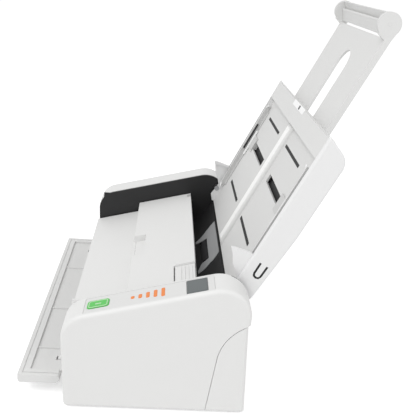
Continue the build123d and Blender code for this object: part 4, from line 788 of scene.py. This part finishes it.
chips = []
for x, y, width, length, height in board["chips"]:
    chips.append(pad("chip", (x, y), (width, length), board["corner"], 0, height, board["edge"], onBoard,
                     "partBlack", "case"))
joinPieces("boardChips", chips)
cans = []
for x, y, radius, height in board["cans"]:
    profile = [(0, radius), (height - 0.5, radius), (height - 0.1, radius - 0.25), (height, radius - 0.6),
               (height - 0.15, 0.4)]
    cans.append(turned("can", profile, (0, 0, 1), onBoard(x, y, 0.0), "motorSteel", "case"))
joinPieces("boardCans", cans)

# Label under the base, bare
label = {"centre": (0, 5), "size": (70, 38), "corner": 1.5, "thickness": 0.12, "edge": 0.02}


def onBase(x, y, h):
    return upright(x, y, layout["baseLevel"] + h)


pad("baseLabel", label["centre"], label["size"], label["corner"], -label["thickness"], 0.0, label["edge"],
    onBase, "labelGrey", "case")
print("small parts made")

# Floor, world, lamps and camera
studio = {
    "worldLight": 0.70, "floorLevel": 232, "floorRoughness": 0.9, "floorGlow": 0.47, "floorSize": 30,
    "key": {"place": (0.9, -1.1, 1.9), "aim": (0, 0, 0.12), "size": 1.6, "power": 20},
    "fill": {"place": (1.6, 1.2, 1.0), "aim": (0, 0, 0.1), "size": 1.8, "power": 8},
}


def directRays(nodes, links):
    # 1 for rays from the camera or from a glossy face, 0 for the others
    rays = nodes.new("ShaderNodeLightPath")
    return mathStep(nodes, links, "MAXIMUM", rays.outputs["Is Camera Ray"], rays.outputs["Is Glossy Ray"])


# The floor glows a little towards the camera, so that it reads as plain pale ground
bpy.ops.mesh.primitive_plane_add(size=studio["floorSize"], location=(0, 0, 0))
floor = bpy.context.object
floor.name = "floor"
floorColour = linear(*[studio["floorLevel"]] * 3)
floorFinish, nodes, links, shader = newFinish("floorPale", floorColour, studio["floorRoughness"])
shader.inputs["Specular IOR Level"].default_value = 0.0
glow = nodes.new("ShaderNodeEmission")
both = nodes.new("ShaderNodeAddShader")
strength = mathStep(nodes, links, "MULTIPLY", directRays(nodes, links), studio["floorGlow"])
links.new(strength, glow.inputs["Strength"])
links.new(shader.outputs[0], both.inputs[0])
links.new(glow.outputs[0], both.inputs[1])
links.new(both.outputs[0], nodes["Material Output"].inputs["Surface"])
floor.data.materials.append(floorFinish)

# The world is white where it is seen, and weaker where it only lights
world = bpy.data.worlds.new("studioWorld")
bpy.context.scene.world = world
world.use_nodes = True
nodes = world.node_tree.nodes
links = world.node_tree.links
background = nodes["Background"]
background.inputs["Color"].default_value = (1, 1, 1, 1)
brightness = nodes.new("ShaderNodeMapRange")
brightness.inputs["To Min"].default_value = studio["worldLight"]
brightness.inputs["To Max"].default_value = 1.0
links.new(directRays(nodes, links), brightness.inputs["Value"])
links.new(brightness.outputs["Result"], background.inputs["Strength"])


def softLamp(name, values):
    data = bpy.data.lights.new(name, "AREA")
    data.shape = "DISK"
    data.size = values["size"]
    data.energy = values["power"]
    lamp = bpy.data.objects.new(name, data)
    bpy.context.scene.collection.objects.link(lamp)
    lamp.location = values["place"]
    aim = Vector(values["aim"]) - Vector(values["place"])
    lamp.rotation_euler = aim.to_track_quat("-Z", "Y").to_euler()


softLamp("keyLamp", studio["key"])
softLamp("fillLamp", studio["fill"])

# The camera stands off the side with the controls, a little above, slightly rolled
viewpoint = {
    "place": (554.1, -7.0, 353.4), "yaw": -5.33, "pitch": 22.11, "roll": 5.88, "focal": 600.0,
    "frame": 416.0, "centreX": 210.1, "sensor": 36.0, "nearest": 0.01,
}
yaw, pitch, roll = [radians(viewpoint[key]) for key in ("yaw", "pitch", "roll")]
forward = Vector((-cos(pitch) * cos(yaw), -cos(pitch) * sin(yaw), -sin(pitch)))
sideways = forward.cross(Vector((0, 0, 1))).normalized()
rise = sideways.cross(forward)
right = cos(roll) * sideways + sin(roll) * rise
up = -sin(roll) * sideways + cos(roll) * rise
cameraData = bpy.data.cameras.new("camera")
cameraData.sensor_width = viewpoint["sensor"]
cameraData.lens = viewpoint["focal"] / viewpoint["frame"] * viewpoint["sensor"]
cameraData.shift_x = (viewpoint["frame"] / 2 - viewpoint["centreX"]) / viewpoint["frame"]
cameraData.clip_start = viewpoint["nearest"]
camera = bpy.data.objects.new("camera", cameraData)
bpy.context.scene.collection.objects.link(camera)
turn = Matrix((right, up, -forward)).transposed().to_4x4()
camera.matrix_world = Matrix.Translation(Vector(upright(*viewpoint["place"]))) @ turn
bpy.context.scene.camera = camera
bpy.context.scene.view_settings.view_transform = "Standard"
print("studio ready")
